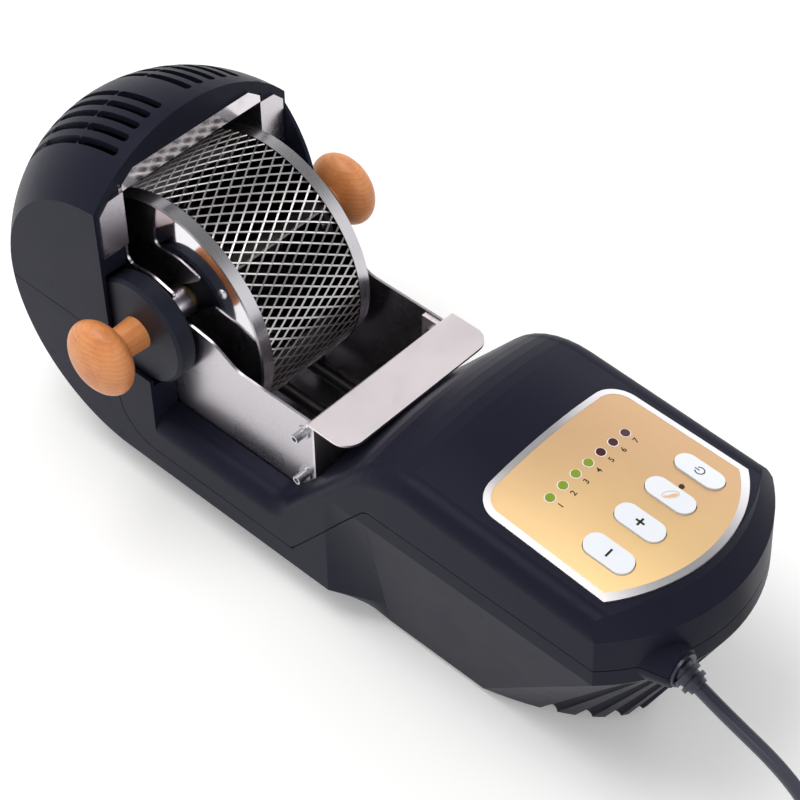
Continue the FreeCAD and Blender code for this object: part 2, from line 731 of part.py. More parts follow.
def make_housing():
    """Both shells are cut from one outer form and one hollow."""
    outer = body_form(0).cut(space_above_deck(0))
    hollow = body_form(s.shell_wall).cut(space_above_deck(s.shell_wall))
    cup_radius = s.disc_radius + DISC_ROOM
    cups, recesses = [], []
    for _, side in SIDES:
        outer = outer.fuse(shelf(0, side))
        hollow = hollow.fuse(shelf(s.shell_wall, side))
        near, far = s.plate_outer_half, s.disc_outer_face + 1.2
        cups.append(rod(*sorted((near * side, BIG * side)), cup_radius + s.shell_wall))
        recesses.append(rod(*sorted((near * side, far * side)), cup_radius))
    hollow = hollow.cut(cups)
    seat_y = -front_surface(s.gland_x)
    boss = Part.makeCone(GLAND_BOSS_RADIUS, GLAND_BOSS_RADIUS + GLAND_BOSS_FLARE,
                         GLAND_BOSS_REACH + BOSS_DEPTH,
                         Vec(s.gland_x, seat_y - GLAND_BOSS_REACH, -s.gland_drop), Vec(0, 1, 0))
    gland_bore = Part.makeCylinder(GLAND_SEAT_RADIUS, 60, Vec(s.gland_x, seat_y - 30, -s.gland_drop),
                                   Vec(0, 1, 0))
    outer = outer.fuse(boss)
    hollow = hollow.cut(boss)
    under = below_seam()
    shell = outer.cut(hollow)
    joint = -s.seam_front_drop
    posts_low, posts_high, bores, shanks, heads = [], [], [], [], []
    for x, ahead, joint_z in ((*FRONT_POST, joint), (*REAR_POST, -s.seam_rear_drop)):
        for side in (-1, 1):
            posts_low.append(post(x * side, ahead, -s.base_drop, joint_z).common(outer))
            posts_high.append(post(x * side, ahead, joint_z, joint_z + 60).common(outer))
            bores.append(post(x * side, ahead, -s.base_drop - 5, joint_z + 8, SCREW_RADIUS))
            heads.append(post(x * side, ahead, -s.base_drop - 5, joint_z - 20, SCREW_HEAD_RADIUS))
            shanks.append((x * side, ahead, joint_z))
    lower = shell.common(under)
    chamber = block(-s.plate_outer_half - PLATE_ROOM, s.plate_outer_half + PLATE_ROOM,
                    -s.chamber_front - 4.0, s.hood_mouth + s.shell_wall + 1, -s.seam_valley_drop + 1,
                    s.liner_radius + 0.4)
    lower = lower.fuse(posts_low)
    lower = lower.cut([chamber, gland_bore] + bores + heads + air_intakes() + recesses
                      + idler_room())
    feature("lower_shell", lower.removeSplitter())

    upper = shell.cut(under).cut(seam_groove())
    upper = upper.fuse([item.cut(hood_floor()) for item in posts_high] + [drive_cheek()])
    board_posts = [post(x * side, ahead, BOARD_TOP, 60, 3.0).common(outer)
                   for x, ahead in BOARD_POSTS for side in (-1, 1)]
    upper = upper.fuse(board_posts)
    upper = upper.cut([chamber, gland_bore] + bores + recesses + idler_room() + hood_vents()
                      + control_openings())
    feature("upper_shell", upper.removeSplitter())

    feet = [Part.makeCylinder(s.foot_radius, s.foot_height, Vec(x * side, -ahead, -s.axis_height))
            for x, ahead in FEET for side in (-1, 1)]
    feature("rubber_feet", Part.makeCompound(feet))
    screws = []
    for x, ahead, joint_z in shanks:
        head_top = joint_z - 20
        screw = post(x, ahead, head_top - 2.2, head_top, SCREW_HEAD_RADIUS - 0.2)
        screws.append(screw.fuse(post(x, ahead, head_top, joint_z + 7.5, SCREW_RADIUS)))
    feature("case_screws", Part.makeCompound(screws))
    return hollow


def hood_floor():
    """Keeps the rear posts short: nothing above the parting line's lugs."""
    return block(-BIG, BIG, s.hood_mouth, BIG, -s.seam_rear_drop + 14, BIG)


# ---------------------------------------------------------------------------------------
# Chamber: side plates, front plate with its tray, liner, floor, studs
# ---------------------------------------------------------------------------------------

LIP = (21.5, 36.0, 50.0)        # where the plates' top edge steps down ahead of the slot
TAB_BOTTOM = 34.0
TAB_TOP = 63.5
TAB_WIDTH = 12.6
STUD_AHEAD = 90.0
STUD_DROPS = (9.0, 35.0)
STUD_REACH = 6.0


def slot_frame():
    """Unit vectors out of the slot and across it, in (Y, Z)."""
    angle = math.radians(s.slot_angle)
    return (-math.cos(angle), math.sin(angle)), (math.sin(angle), math.cos(angle))


def side_plate(side):
    """One side of the chamber, with the slot that the drum's bush drops into."""
    (oy, oz), (ay, az) = slot_frame()
    w = s.slot_half_width
    upper_mouth, lower_mouth = 25.0, 22.5
    drop = s.chamber_floor_drop
    corner = s.liner_radius * math.sqrt(0.5)
    slope_end = drop - corner
    points = [
        (s.hood_mouth, s.liner_radius - 2), (s.hood_mouth, 23.5), (1.0, 25.2),
        (ay * w + oy * upper_mouth, az * w + oz * upper_mouth), (ay * w, az * w),
        (-ay * w, -az * w), (-ay * w + oy * lower_mouth, -az * w + oz * lower_mouth),
        (-LIP[1], 7.6), (-LIP[2], 0.0), (-s.chamber_front, 0.0),
        (-s.chamber_front, -drop), (corner - slope_end, -drop), (corner, -corner),
        (s.liner_radius, 0.0), (corner, corner)]
    radii = [0, 4, 20, 1.5, 0, 0, 1.5, 14, 14, 1, 0, 0, 0, 0, 0]
    x_from, x_to = sorted((s.plate_inner_half * side, s.plate_outer_half * side))
    plate = side_prism(points, radii, x_from, x_to)
    rim = rod(x_from, x_to, s.liner_radius).common(
        block(-BIG, BIG, s.hood_mouth, BIG, -corner, BIG))
    seat = rod(x_from - 1, x_to + 1, w)
    plate = plate.fuse(rim).cut(seat)
    inner, outer = s.plate_inner_half * side, (s.plate_outer_half + TAB_WIDTH) * side
    tab_y = s.hood_mouth - s.sheet_thickness
    tab_points = [(inner, TAB_BOTTOM + 0.6), (outer, TAB_BOTTOM), (outer, TAB_TOP - 6),
                  (outer - 5.4 * side, TAB_TOP - 0.4), (inner, TAB_TOP)]
    tab = Part.Face(Part.makePolygon([Vec(x, tab_y, z) for x, z in tab_points + tab_points[:1]]))
    plate = plate.fuse(tab.extrude(Vec(0, s.sheet_thickness, 0)))
    holes = [rod(x_from - 1, x_to + 1, s.stud_radius, -STUD_AHEAD, -drop) for drop in STUD_DROPS]
    if side > 0:
        holes.append(rod(x_from - 1, x_to + 1, IDLER_STUD_RADIUS, *idler_centre()))
    return plate.cut(holes).removeSplitter()


def front_plate():
    """Upright plate whose top folds forward into the warm tray, with flanges inside."""
    t = s.sheet_thickness
    front = -s.chamber_front
    folded = bent_sheet([(front, -s.chamber_floor_drop), (front, 2.7), (-s.tray_reach, 2.7)],
                        [0, 1.6, 0], t, s.tray_half_width)
    upright = block(-s.plate_outer_half, s.plate_outer_half, front - 2 * t, front + 1, -BIG, 0.2)
    tray = plan_prism([(-s.tray_half_width, -s.tray_reach), (s.tray_half_width, -s.tray_reach),
                       (s.tray_half_width, front + 1), (-s.tray_half_width, front + 1)],
                      [s.tray_corner_radius, s.tray_corner_radius, 0, 0], 0.2, 10)
    plate = folded.common(upright.fuse(tray))
    flanges = []
    for _, side in SIDES:
        x_from, x_to = sorted(((s.plate_inner_half - t) * side, s.plate_inner_half * side))
        flange = block(x_from, x_to, front, front + 12, -s.chamber_floor_drop + 2, -3)
        flanges.append(flange.cut([rod(x_from - 1, x_to + 1, s.stud_radius, -STUD_AHEAD, -drop)
                                   for drop in STUD_DROPS]))
    plate = plate.fuse(flanges)
    return plate.cut(terminal_holes()).removeSplitter()


LINER_LIP = 5.8                 # how far the flange at the mouth stands past the liner


def hood_liner():
    """Curved sheet behind the drum, with a flange round the mouth."""
    t = s.sheet_thickness
    half = s.plate_inner_half
    front = s.hood_mouth - t
    ring = rod(-half, half, s.liner_radius).cut(rod(-half - 1, half + 1, s.liner_radius - t))
    ring = ring.common(side_prism([(front, -front), (BIG, -BIG), (BIG, BIG), (front, BIG)],
                                  [0] * 4, -BIG, BIG))
    top = s.liner_radius + LINER_LIP
    low = math.sqrt((s.liner_radius - t) ** 2 - front ** 2)
    points = [(-half, low), (half, low), (half, top - 5.4), (half - 6.8, top),
              (6.8 - half, top), (-half, top - 5.4)]
    strip = Part.Face(Part.makePolygon([Vec(x, front, z) for x, z in points + points[:1]]))
    return ring.fuse(strip.extrude(Vec(0, t, 0))).removeSplitter()


def make_chamber():
    """The stainless box round the lower half of the drum."""
    for name, side in SIDES:
        feature(f"chamber_plate_{name}", side_plate(side))
    feature("chamber_front_plate", front_plate())
    feature("hood_liner", hood_liner())
    t = s.sheet_thickness
    corner = s.liner_radius * math.sqrt(0.5)
    foot = corner - (s.chamber_floor_drop - corner)
    floor = bent_sheet([(-s.chamber_front + 1.5, -s.chamber_floor_drop), (foot, -s.chamber_floor_drop),
                        (corner, -corner)], [0, 6, 0], t, s.plate_inner_half)
    feature("chamber_floor", floor)
    studs = []
    for _, side in SIDES:
        for drop in STUD_DROPS:
            near, face = s.plate_inner_half - s.sheet_thickness, s.plate_outer_half
            reach = sorted((near * side, (face + STUD_REACH) * side))
            stud = rod(*reach, s.stud_radius, -STUD_AHEAD, -drop)
            washer = rod(*sorted((face * side, (face + 0.8) * side)), 3.4, -STUD_AHEAD, -drop)
            inner = rod(*sorted(((near - 2.4) * side, near * side)), 3.2, -STUD_AHEAD, -drop)
            socket = rod(*sorted(((face + 3.5) * side, (face + STUD_REACH + 1) * side)), 1.2,
                         -STUD_AHEAD, -drop)
            studs.append(stud.fuse([washer, inner]).cut(socket))
    feature("plate_studs", Part.makeCompound(studs))
    feet = [block(-30, 30, -ahead - 5, -ahead + 5, -s.base_drop + s.shell_wall, -s.chamber_floor_drop)
            for ahead in (8.0, 70.0)]
    feature("chamber_rests", Part.makeCompound(feet))


# ---------------------------------------------------------------------------------------
# Drum: mesh, end caps, vanes, stub shafts, bushes, discs, knobs
# ---------------------------------------------------------------------------------------

CAP_SKIN = 0.8
NUT_RADIUS = 7.0
NUT_DEPTH = 3.0
DISC_EDGE = 1.5
VANE_ROOM = 0.7                 # from the vanes' edge to the mesh
VANE_LEAN = 25.0
VANE_FIRST = 132.0              # from straight back, over the top
VANE_TAB = 13.0
RIVET_RADIUS = 1.5
RIVET_HEAD_RADIUS = 2.6
RIVET_HEAD_HEIGHT = 1.1
KNOB_BORE_END = 72.0
BUSH_FLANGE_RADIUS = 8.3


def drum_mesh():
    """Expanded metal rolled into a drum: flat lattice panels joined round the axis."""
    radius = s.drum_radius - CAP_SKIN - 0.05
    columns, rows = int(s.mesh_columns), int(s.mesh_rows)
    width = 2 * radius * math.sin(math.pi / columns)
    apothem = radius * math.cos(math.pi / columns)
    lattice = 2 * (s.drum_half_length - s.rim_width)
    pitch = lattice / rows
    half_long, half_wide = pitch / 2, width / 2
    reach = half_long * half_wide / math.hypot(half_long, half_wide)
    share = (reach - s.mesh_strand / 2) / reach
    open_long, open_wide = half_long * share, half_wide * share
    end = s.cap_face - s.sheet_thickness

    border = [(-end, half_wide)]
    for j in range(1, rows):
        x = -lattice / 2 + j * pitch
        border += [(x - open_long, half_wide), (x, half_wide - open_wide), (x + open_long, half_wide)]
    border.append((end, half_wide))
    outline = border + [(x, -u) for x, u in reversed(border)]
    loops = [outline]
    for j in range(rows):
        x = -lattice / 2 + (j + 0.5) * pitch
        loops.append([(x - open_long, 0), (x, open_wide), (x + open_long, 0), (x, -open_wide)])
    wires = [Part.makePolygon([Vec(x, u, apothem) for x, u in loop + loop[:1]]) for loop in loops]
    face = Part.Face(wires[0]).cut([Part.Face(wire) for wire in wires[1:]])
    panel = face.Faces[0].extrude(Vec(0, 0, -s.mesh_thickness))
    panels = []
    for k in range(columns):
        copy = panel.copy()
        copy.rotate(Vec(), Vec(1, 0, 0), 360 * k / columns)
        panels.append(copy)
    return joined(panels)


def vane_edge():
    """Radius of the vanes' outer edge."""
    inside = (s.drum_radius - CAP_SKIN) * math.cos(math.pi / s.mesh_columns) - s.mesh_thickness
    return inside - VANE_ROOM


def rivet_place():
    """(outwards, across) of a vane's rivet, before the vane leans and takes its turn."""
    return vane_edge() - s.vane_depth / 2 - 1, VANE_TAB - 3.5


def rivet_bores():
    """(Y, Z, radius) of the rivet holes in the drum's caps."""
    radius = vane_edge()
    out, across = rivet_place()
    lean, bores = math.radians(VANE_LEAN), []
    y = radius + (out - radius) * math.cos(lean) - across * math.sin(lean)
    z = (out - radius) * math.sin(lean) + across * math.cos(lean)
    for k in range(int(s.vane_count)):
        turn = math.radians(VANE_FIRST + 360 * k / s.vane_count)
        bores.append((y * math.cos(turn) - z * math.sin(turn),
                      y * math.sin(turn) + z * math.cos(turn), RIVET_RADIUS))
    return bores


def make_drum():
    """Everything that turns with the drum, and the two bushes that lift out with it."""
    feature("drum_mesh", drum_mesh())
    cap_skirt = size("drum_radius") - CAP_SKIN
    lip = size("drum_radius") - 2 * CAP_SKIN
    rim, recess = size("drum_half_length"), size("drum_half_length") - size("cap_recess")
    bore = size("journal_radius")
    for name, side in SIDES:
        inner = recess - size("sheet_thickness")
        turned(f"drum_cap_{name}", side, [
            (rim, size("drum_radius")), (rim - size("rim_width"), size("drum_radius")),
            (rim - size("rim_width"), cap_skirt), (inner, cap_skirt), (inner, bore),
            (recess, bore), (recess, lip), (rim, lip)], bores=rivet_bores())
        hub_end = size("plate_outer_half") - 2.8
        disc_face = size("disc_inner_face")
        near = disc_face if side < 0 else size("gear_inner_face") + size("gear_face") + 0.6
        fused(f"drum_shaft_{name}", [
            bound_rod(f"{name}_nut", side, inner - NUT_DEPTH, inner, size("journal_radius") + 2.0),
            bound_rod(f"{name}_neck", side, inner, recess, bore),
            bound_rod(f"{name}_hub", side, recess, hub_end, size("hub_radius")),
            bound_rod(f"{name}_journal", side, hub_end, disc_face, size("journal_radius")),
            bound_rod(f"{name}_spigot", side, disc_face, disc_face + 28.0, size("spigot_radius"))])
        bush_bore = size("journal_radius") + size("running_clearance")
        bush = size("slot_half_width") - 0.1
        plate_in = size("plate_outer_half") - size("sheet_thickness")
        turned(f"shaft_bush_{name}", side, [
            (plate_in - 1.3, bush_bore), (plate_in - 1.3, bush + 1.5), (plate_in - 0.15, bush + 1.5),
            (plate_in - 0.15, bush), (disc_face - 0.4, bush), (disc_face - 0.4, bush_bore)])
        outer_face = size("disc_outer_face")
        radius = size("disc_radius")
        turned(f"heat_disc_{name}", side, [
            (near, size("spigot_radius")), (near, radius - DISC_EDGE), (near + DISC_EDGE, radius),
            (outer_face - DISC_EDGE, radius), (outer_face, radius - DISC_EDGE),
            (outer_face, size("spigot_radius"))])
        make_knob(name, side)
    vanes, rivets = [], []
    radius = vane_edge()
    half = s.cap_face - s.sheet_thickness
    tab_low, tab_high = radius - s.vane_depth + 1, radius - 3
    rivet_at = rivet_place()
    for k in range(int(s.vane_count)):
        tabs, pins, holes = [], [], []
        for _, side in SIDES:
            x_from, x_to = sorted(((half - 1.2) * side, half * side))
            tabs.append(block(x_from, x_to, tab_low, tab_high, -0.6, VANE_TAB))
            pin = rod(*sorted(((half - 2.0) * side, (s.cap_face + 0.1) * side)), RIVET_RADIUS, *rivet_at)
            head = Part.makeCone(RIVET_HEAD_RADIUS, RIVET_RADIUS, RIVET_HEAD_HEIGHT,
                                 Vec(s.cap_face * side, *rivet_at), Vec(side, 0, 0))
            pins.append(pin.fuse(head))
            holes.append(rod(*sorted(((half - 3.0) * side, (half + 3.0) * side)), RIVET_RADIUS, *rivet_at))
        vane = joined([block(-half, half, radius - s.vane_depth, radius, -0.6, 0.6)] + tabs).cut(holes)
        for piece in [vane] + pins:
            piece.rotate(Vec(0, radius, 0), Vec(1, 0, 0), VANE_LEAN)
            piece.rotate(Vec(), Vec(1, 0, 0), VANE_FIRST + 360 * k / s.vane_count)
        vanes.append(vane)
        rivets += pins
    feature("mixing_vanes", Part.makeCompound(vanes))
    feature("cap_rivets", Part.makeCompound(rivets))


def make_knob(name, side):
    """A turned knob: a domed head on a waisted neck, bored for the shaft."""
    centre, neck = size("knob_head_centre"), size("knob_neck_radius")
    head = doc.addObject("Part::Ellipsoid", f"{name}_head")
    head.Angle1, head.Angle2, head.Angle3 = -90, 90, 360
    head.Placement = FreeCAD.Placement(Vec(), FreeCAD.Rotation(Vec(0, 1, 0), 90))
    head.setExpression("Radius1", size("knob_head_half_depth").text)
    head.setExpression("Radius2", size("knob_head_radius").text)
    head.setExpression("Radius3", size("knob_head_radius").text)
    head.setExpression("Placement.Base.x", (centre * side).text)
    stem = doc.addObject("Part::Cone", f"{name}_stem")
    stem.Placement = FreeCAD.Placement(Vec(), FreeCAD.Rotation(Vec(0, 1, 0), 90 * side))
    stem.setExpression("Radius1", neck.text)
    stem.setExpression("Radius2", (neck - 1.0).text)
    stem.setExpression("Height", (centre - size("disc_outer_face")).text)
    stem.setExpression("Placement.Base.x", (size("disc_outer_face") * side).text)
    whole = doc.addObject("Part::MultiFuse", f"{name}_turning")
    whole.Shapes = [head, stem]
    bore = bound_rod(f"{name}_bore", side, size("disc_outer_face") - 5.0,
                     size("disc_inner_face") + 28.0, size("spigot_radius"))
    cut_from(f"knob_{name}", whole, bore)


# ---------------------------------------------------------------------------------------
# Drive: drum gear, idler, pinion and motor, on the right
# ---------------------------------------------------------------------------------------

PRESSURE_ANGLE = 20.0
IDLER_STUD_RADIUS = 3.0
IDLER_ROOM = 1.6


def drive_direction():
    """From the drum axis towards the idler and the pinion: straight away from the slot."""
    (oy, oz), _ = slot_frame()
    return -oy, -oz


def idler_centre():
    """(Y, Z) of the idler."""
    dy, dz = drive_direction()
    distance = s.drum_gear_radius + s.idler_radius
    return dy * distance, dz * distance


def pinion_centre():
    """(Y, Z) of the pinion and the motor."""
    dy, dz = drive_direction()
    distance = s.drum_gear_radius + 2 * s.idler_radius + s.pinion_radius
    return dy * distance, dz * distance


def idler_room():
    """What the idler needs taken out of the shells."""
    y, z = idler_centre()
    return [rod(s.gear_inner_face - 1, s.gear_outer_face + 1,
                s.idler_radius + s.gear_module + IDLER_ROOM, y, z)]


def gear(teeth, first_tooth, bore, centre):
    """An involute gear; first_tooth is the direction of one tooth, in degrees."""
    teeth = int(teeth)
    pitch = s.gear_module * teeth / 2
    base = pitch * math.cos(math.radians(PRESSURE_ANGLE))
    tip, root = pitch + 0.92 * s.gear_module, pitch - 1.2 * s.gear_module
    rolled = math.tan(math.radians(PRESSURE_ANGLE)) - math.radians(PRESSURE_ANGLE)
    half_tooth = math.pi / (2 * teeth) - s.gear_backlash / (4 * pitch)

    def half_angle(radius):
        roll = math.acos(min(1.0, base / max(radius, base)))
        return half_tooth + rolled - (math.tan(roll) - roll)

    low = max(root, base)
    flank = [root] + ([base] if base > root else []) + [(low + pitch) / 2, pitch,
                                                       (pitch + tip) / 2, tip]
    points = []
    for k in range(teeth):
        middle = math.radians(first_tooth) + 2 * math.pi * k / teeth
        rising = [(radius, middle - half_angle(radius)) for radius in flank]
        falling = [(radius, middle + half_angle(radius)) for radius in reversed(flank)]
        points += rising + falling
    y, z = centre
    x = s.gear_inner_face
    corners = [Vec(x, y + r * math.cos(a), z + r * math.sin(a)) for r, a in points]
    blank = Part.Face(Part.makePolygon(corners + corners[:1])).extrude(Vec(s.gear_face, 0, 0))
    return blank.cut(rod(x - 1, x + s.gear_face + 1, bore, y, z))


def make_drive():
    """A train from the motor behind the chamber up to the drum's own gear."""
    inward = 180 - s.slot_angle
    outward = -s.slot_angle
    feature("drum_gear", gear(s.drum_gear_teeth, outward, s.spigot_radius, (0, 0)))
    idler_first = inward + 180 / s.idler_teeth
    feature("idler_gear", gear(s.idler_teeth, idler_first, IDLER_STUD_RADIUS + s.running_clearance,
                               idler_centre()))
    feature("motor_pinion", gear(s.pinion_teeth, inward, 3.0, pinion_centre()))
    y, z = idler_centre()
    stud = rod(s.plate_outer_half - s.sheet_thickness, s.gear_outer_face + 1.6, IDLER_STUD_RADIUS, y, z)
    collar = rod(s.plate_outer_half, s.gear_inner_face - 0.2, IDLER_STUD_RADIUS + 2, y, z)
    clip = rod(s.gear_outer_face + 0.2, s.gear_outer_face + 1.0, IDLER_STUD_RADIUS + 1.6, y, z)
    feature("idler_stud", joined([stud, collar, clip]))
    y, z = pinion_centre()
    motor_end = s.gear_inner_face - 8.0
    can = rod(motor_end - s.motor_length, motor_end - 8, s.motor_radius, y, z)
    box = rod(motor_end - 8, motor_end, s.motor_radius - 0.6, y, z)
    nose = rod(motor_end, motor_end + 3, 5.0, y, z)
    body = joined([can, box, nose])
    shaft_room = rod(motor_end - 4, motor_end + 4, 3.0 + s.running_clearance, y, z)
    feature("drum_motor", body.cut(shaft_room))
    feature("motor_shaft", rod(motor_end - 3.8, s.gear_outer_face + 0.8, 3.0, y, z))
    return body


def make_motor_cradle(motor, hollow):
    """A saddle under the motor that follows the lower shell's floor."""
    y, z = pinion_centre()
    end = s.gear_inner_face - 10.0
    saddle = block(end - s.motor_length + 6, end - 4, y - 10, y + 12, -BIG, z - 3)
    saddle = saddle.common(hollow).cut([motor, below_liner()])
    feature("motor_cradle", max(saddle.Solids, key=lambda solid: solid.Volume))


def below_liner():
    """The room that the chamber's liner and floor take, with a little air."""
    return rod(-BIG, BIG, s.liner_radius + 0.6)


# ---------------------------------------------------------------------------------------
# Heater, sensors, boards
# ---------------------------------------------------------------------------------------

TERMINAL_X = 1.5                # in element pitches, from the middle
ELEMENT_REAR = 0.0
ELEMENT_FRONT = 76.0
TERMINAL_REACH = 15.0
SUPPORTS = (62.0, 16.0)


def element_path():
    """Four runs under the drum joined by round bends, with both ends through the front."""
    pitch, z = s.element_pitch, -s.element_drop
    rear, turn = -ELEMENT_REAR, -ELEMENT_FRONT
    out = -s.chamber_front - TERMINAL_REACH
    xs = [(i - TERMINAL_X) * pitch for i in range(4)]
    edges = [Part.makeLine(Vec(xs[0], out, z), Vec(xs[0], rear, z))]
    for i in range(3):
        at = rear if i % 2 == 0 else turn
        bulge = pitch / 2 if i % 2 == 0 else -pitch / 2
        middle = Vec((xs[i] + xs[i + 1]) / 2, at + bulge, z)
        edges.append(Part.Arc(Vec(xs[i], at, z), middle, Vec(xs[i + 1], at, z)).toShape())
        if i < 2:
            other = turn if i % 2 == 0 else rear
            edges.append(Part.makeLine(Vec(xs[i + 1], at, z), Vec(xs[i + 1], other, z)))
    edges.append(Part.makeLine(Vec(xs[3], rear, z), Vec(xs[3], out, z)))
    return Part.Wire(edges)


def terminal_holes():
    """Where the element's ends and the temperature probe pass the front plate."""
    holes = []
    for side in (-1, 1):
        at = Vec(side * TERMINAL_X * s.element_pitch, -s.chamber_front - 5, -s.element_drop)
        holes.append(Part.makeCylinder(s.element_radius, 10, at, Vec(0, 1, 0)))
    holes.append(Part.makeCylinder(PROBE_RADIUS, 10, Vec(0, -s.chamber_front - 5, -PROBE_DROP),
                                   Vec(0, 1, 0)))
    return holes


PROBE_RADIUS = 2.0
PROBE_DROP = 46.0


def make_heater():
    """Tubular element, its supports, the probe and the thermal cut-out."""
    rod_form = tube(element_path(), s.element_radius)
    feature("heating_element", rod_form)
    floor_top = -s.chamber_floor_drop + s.sheet_thickness
    combs = []
    for ahead in SUPPORTS:
        comb = block(-38, 38, -ahead, -ahead + s.sheet_thickness, floor_top, -s.element_drop + 1)
        combs.append(comb.cut(rod_form))
    feature("element_supports", Part.makeCompound(combs))
    terminals = []
    for side in (-1, 1):
        end = Vec(side * TERMINAL_X * s.element_pitch, -s.chamber_front - TERMINAL_REACH, -s.element_drop)
        sleeve = Part.makeCylinder(s.element_radius + 1.3, 6, end + Vec(0, 0.5, 0), Vec(0, 1, 0))
        sleeve = sleeve.cut(Part.makeCylinder(s.element_radius, 20, end - Vec(0, 1, 0), Vec(0, 1, 0)))
        blade = block(end.x - 3.1, end.x + 3.1, end.y - 9, end.y, end.z - 0.4, end.z + 0.4)
        terminals += [sleeve, blade]
    feature("element_terminals", Part.makeCompound(terminals))
    front = -s.chamber_front - s.sheet_thickness
    probe = Part.makeCylinder(PROBE_RADIUS, 22, Vec(0, front - 8, -PROBE_DROP), Vec(0, 1, 0))
    probe = probe.fuse(Part.makeCylinder(PROBE_RADIUS + 2, 3, Vec(0, front - 3, -PROBE_DROP),
                                         Vec(0, 1, 0)))
    feature("temperature_probe", probe)
    cutout = Part.makeCylinder(8, 6, Vec(22, front - 6, -PROBE_DROP), Vec(0, 1, 0))
    feature("thermal_cutout", cutout.fuse(Part.makeCylinder(5, 3, Vec(22, front - 9, -PROBE_DROP),
                                                            Vec(0, 1, 0))))


BOARD_THICKNESS = 1.6
POWER_BOARD_TOP = -60.0
POWER_POSTS = ((21.0, 150.0), (21.0, 196.0))


def make_electronics(hollow):
    """Control board under the deck and power board over the base."""
    board = block(-38, 38, -260, -190, BOARD_TOP - BOARD_THICKNESS, BOARD_TOP)
    feature("control_board", board)
    screws = [post(x * side, ahead, BOARD_TOP - BOARD_THICKNESS - 1.8, BOARD_TOP - BOARD_THICKNESS, 2.6)
              for x, ahead in BOARD_POSTS for side in (-1, 1)]
    feature("board_screws", Part.makeCompound(screws))
    switches = []
    for i in range(len(BUTTONS)):
        x, y = button_x(i), -s.button_row
        body = block(x - 3, x + 3, y - 3, y + 3, BOARD_TOP, BOARD_TOP + 3.4)
        switches.append(body.fuse(Part.makeCylinder(1.7, SWITCH_HEIGHT - 3.4,
                                                    Vec(x, y, BOARD_TOP + 3.4))))
    feature("tact_switches", Part.makeCompound(switches))
    power = block(-26, 26, -204, -142, POWER_BOARD_TOP - BOARD_THICKNESS, POWER_BOARD_TOP)
    feature("power_board", power)
    pillars = [post(x * side, ahead, -s.base_drop + s.shell_wall, POWER_BOARD_TOP - BOARD_THICKNESS, 3.2)
               for x, ahead in POWER_POSTS for side in (-1, 1)]
    feature("power_board_pillars", Part.makeCompound(pillars))
    relay = block(-24, -6, -166, -150, POWER_BOARD_TOP, POWER_BOARD_TOP + 15)
    capacitor = Part.makeCylinder(6, 18, Vec(6, -160, POWER_BOARD_TOP))
    transformer = block(-24, 0, -198, -176, POWER_BOARD_TOP, POWER_BOARD_TOP + 20)
    terminal = block(6, 24, -200, -190, POWER_BOARD_TOP, POWER_BOARD_TOP + 11)
    feature("power_components", Part.makeCompound([relay, capacitor, transformer, terminal]))


# ---------------------------------------------------------------------------------------
# Control panel: plate, trim, lamps, buttons
# ---------------------------------------------------------------------------------------

PANEL_SEAT = 0.02               # glue line under the panel
SWITCH_HEIGHT = 4.6
STEM_RADIUS = 2.0


def panel_outline(inset):
    """Upright prism over the panel's outline, set in from its edge."""
    rear, half = -s.panel_rear - inset, s.panel_rear_half - inset
    corner_y, corner = -s.panel_corner + 0.8 * inset, s.panel_front_half - inset
    radius = s.panel_corner_radius - inset
    points = [Vec(-corner, corner_y, 0), Vec(-half, rear, 0), Vec(half, rear, 0),
              Vec(corner, corner_y, 0)]
    edges = rounded_edges(points, [0, radius, radius, 0], closed=False)
    bow = Vec(0, -s.panel_corner - s.panel_bow + inset, 0)
    edges.append(Part.Arc(points[3], bow, points[0]).toShape())
    return Part.Face(Part.Wire(edges)).extrude(Vec(0, 0, 60))


def make_controls():
    """Gold plate in a bright border, seven lamps and a status lamp, four buttons."""
    whole, inside = panel_outline(0), panel_outline(s.panel_border)
    holes = control_openings()
    feature("panel_trim", whole.cut(inside).common(deck_slab(PANEL_SEAT, s.panel_thickness + 0.1)))
    feature("control_panel", inside.common(deck_slab(PANEL_SEAT, s.panel_thickness)).cut(holes))
    ceiling = deck_slab(-40, s.panel_thickness + 0.35)
    lamps = [post(x, ahead, BOARD_TOP, 60, radius).common(ceiling)
             for x, ahead, radius in led_places()]
    feature("lamps_green", Part.makeCompound(lamps[:GREEN_LEDS]))
    feature("lamps_red", Part.makeCompound(lamps[GREEN_LEDS:LED_COUNT]))
    feature("status_lamp", lamps[LED_COUNT])
    cap_layer = deck_slab(-2.4, s.panel_thickness + s.button_stand)
    for i, name in enumerate(BUTTONS):
        x = button_x(i)
        cap = capsule(x, 0, 0, 60).common(cap_layer)
        foot = BOARD_TOP + SWITCH_HEIGHT + s.button_travel + 0.1
        stem = Part.makeCylinder(STEM_RADIUS, deck_height_at(x, s.button_row) - 1 - foot,
                                 Vec(x, -s.button_row, foot))
        feature(f"button_{name}", joined([cap, stem]))


# ---------------------------------------------------------------------------------------
# Supply: gland, cord, coil, plug
# ---------------------------------------------------------------------------------------

RELIEF_LENGTH = 10.0            # outside the boss
RELIEF_FALL = 22.0              # how steeply the relief points down
RELIEF_RINGS = ((2.2, 6.3), (5.8, 5.8))
RELIEF_COLLAR = (7.6, 1.5)      # radius and length of the ring that lies against the boss
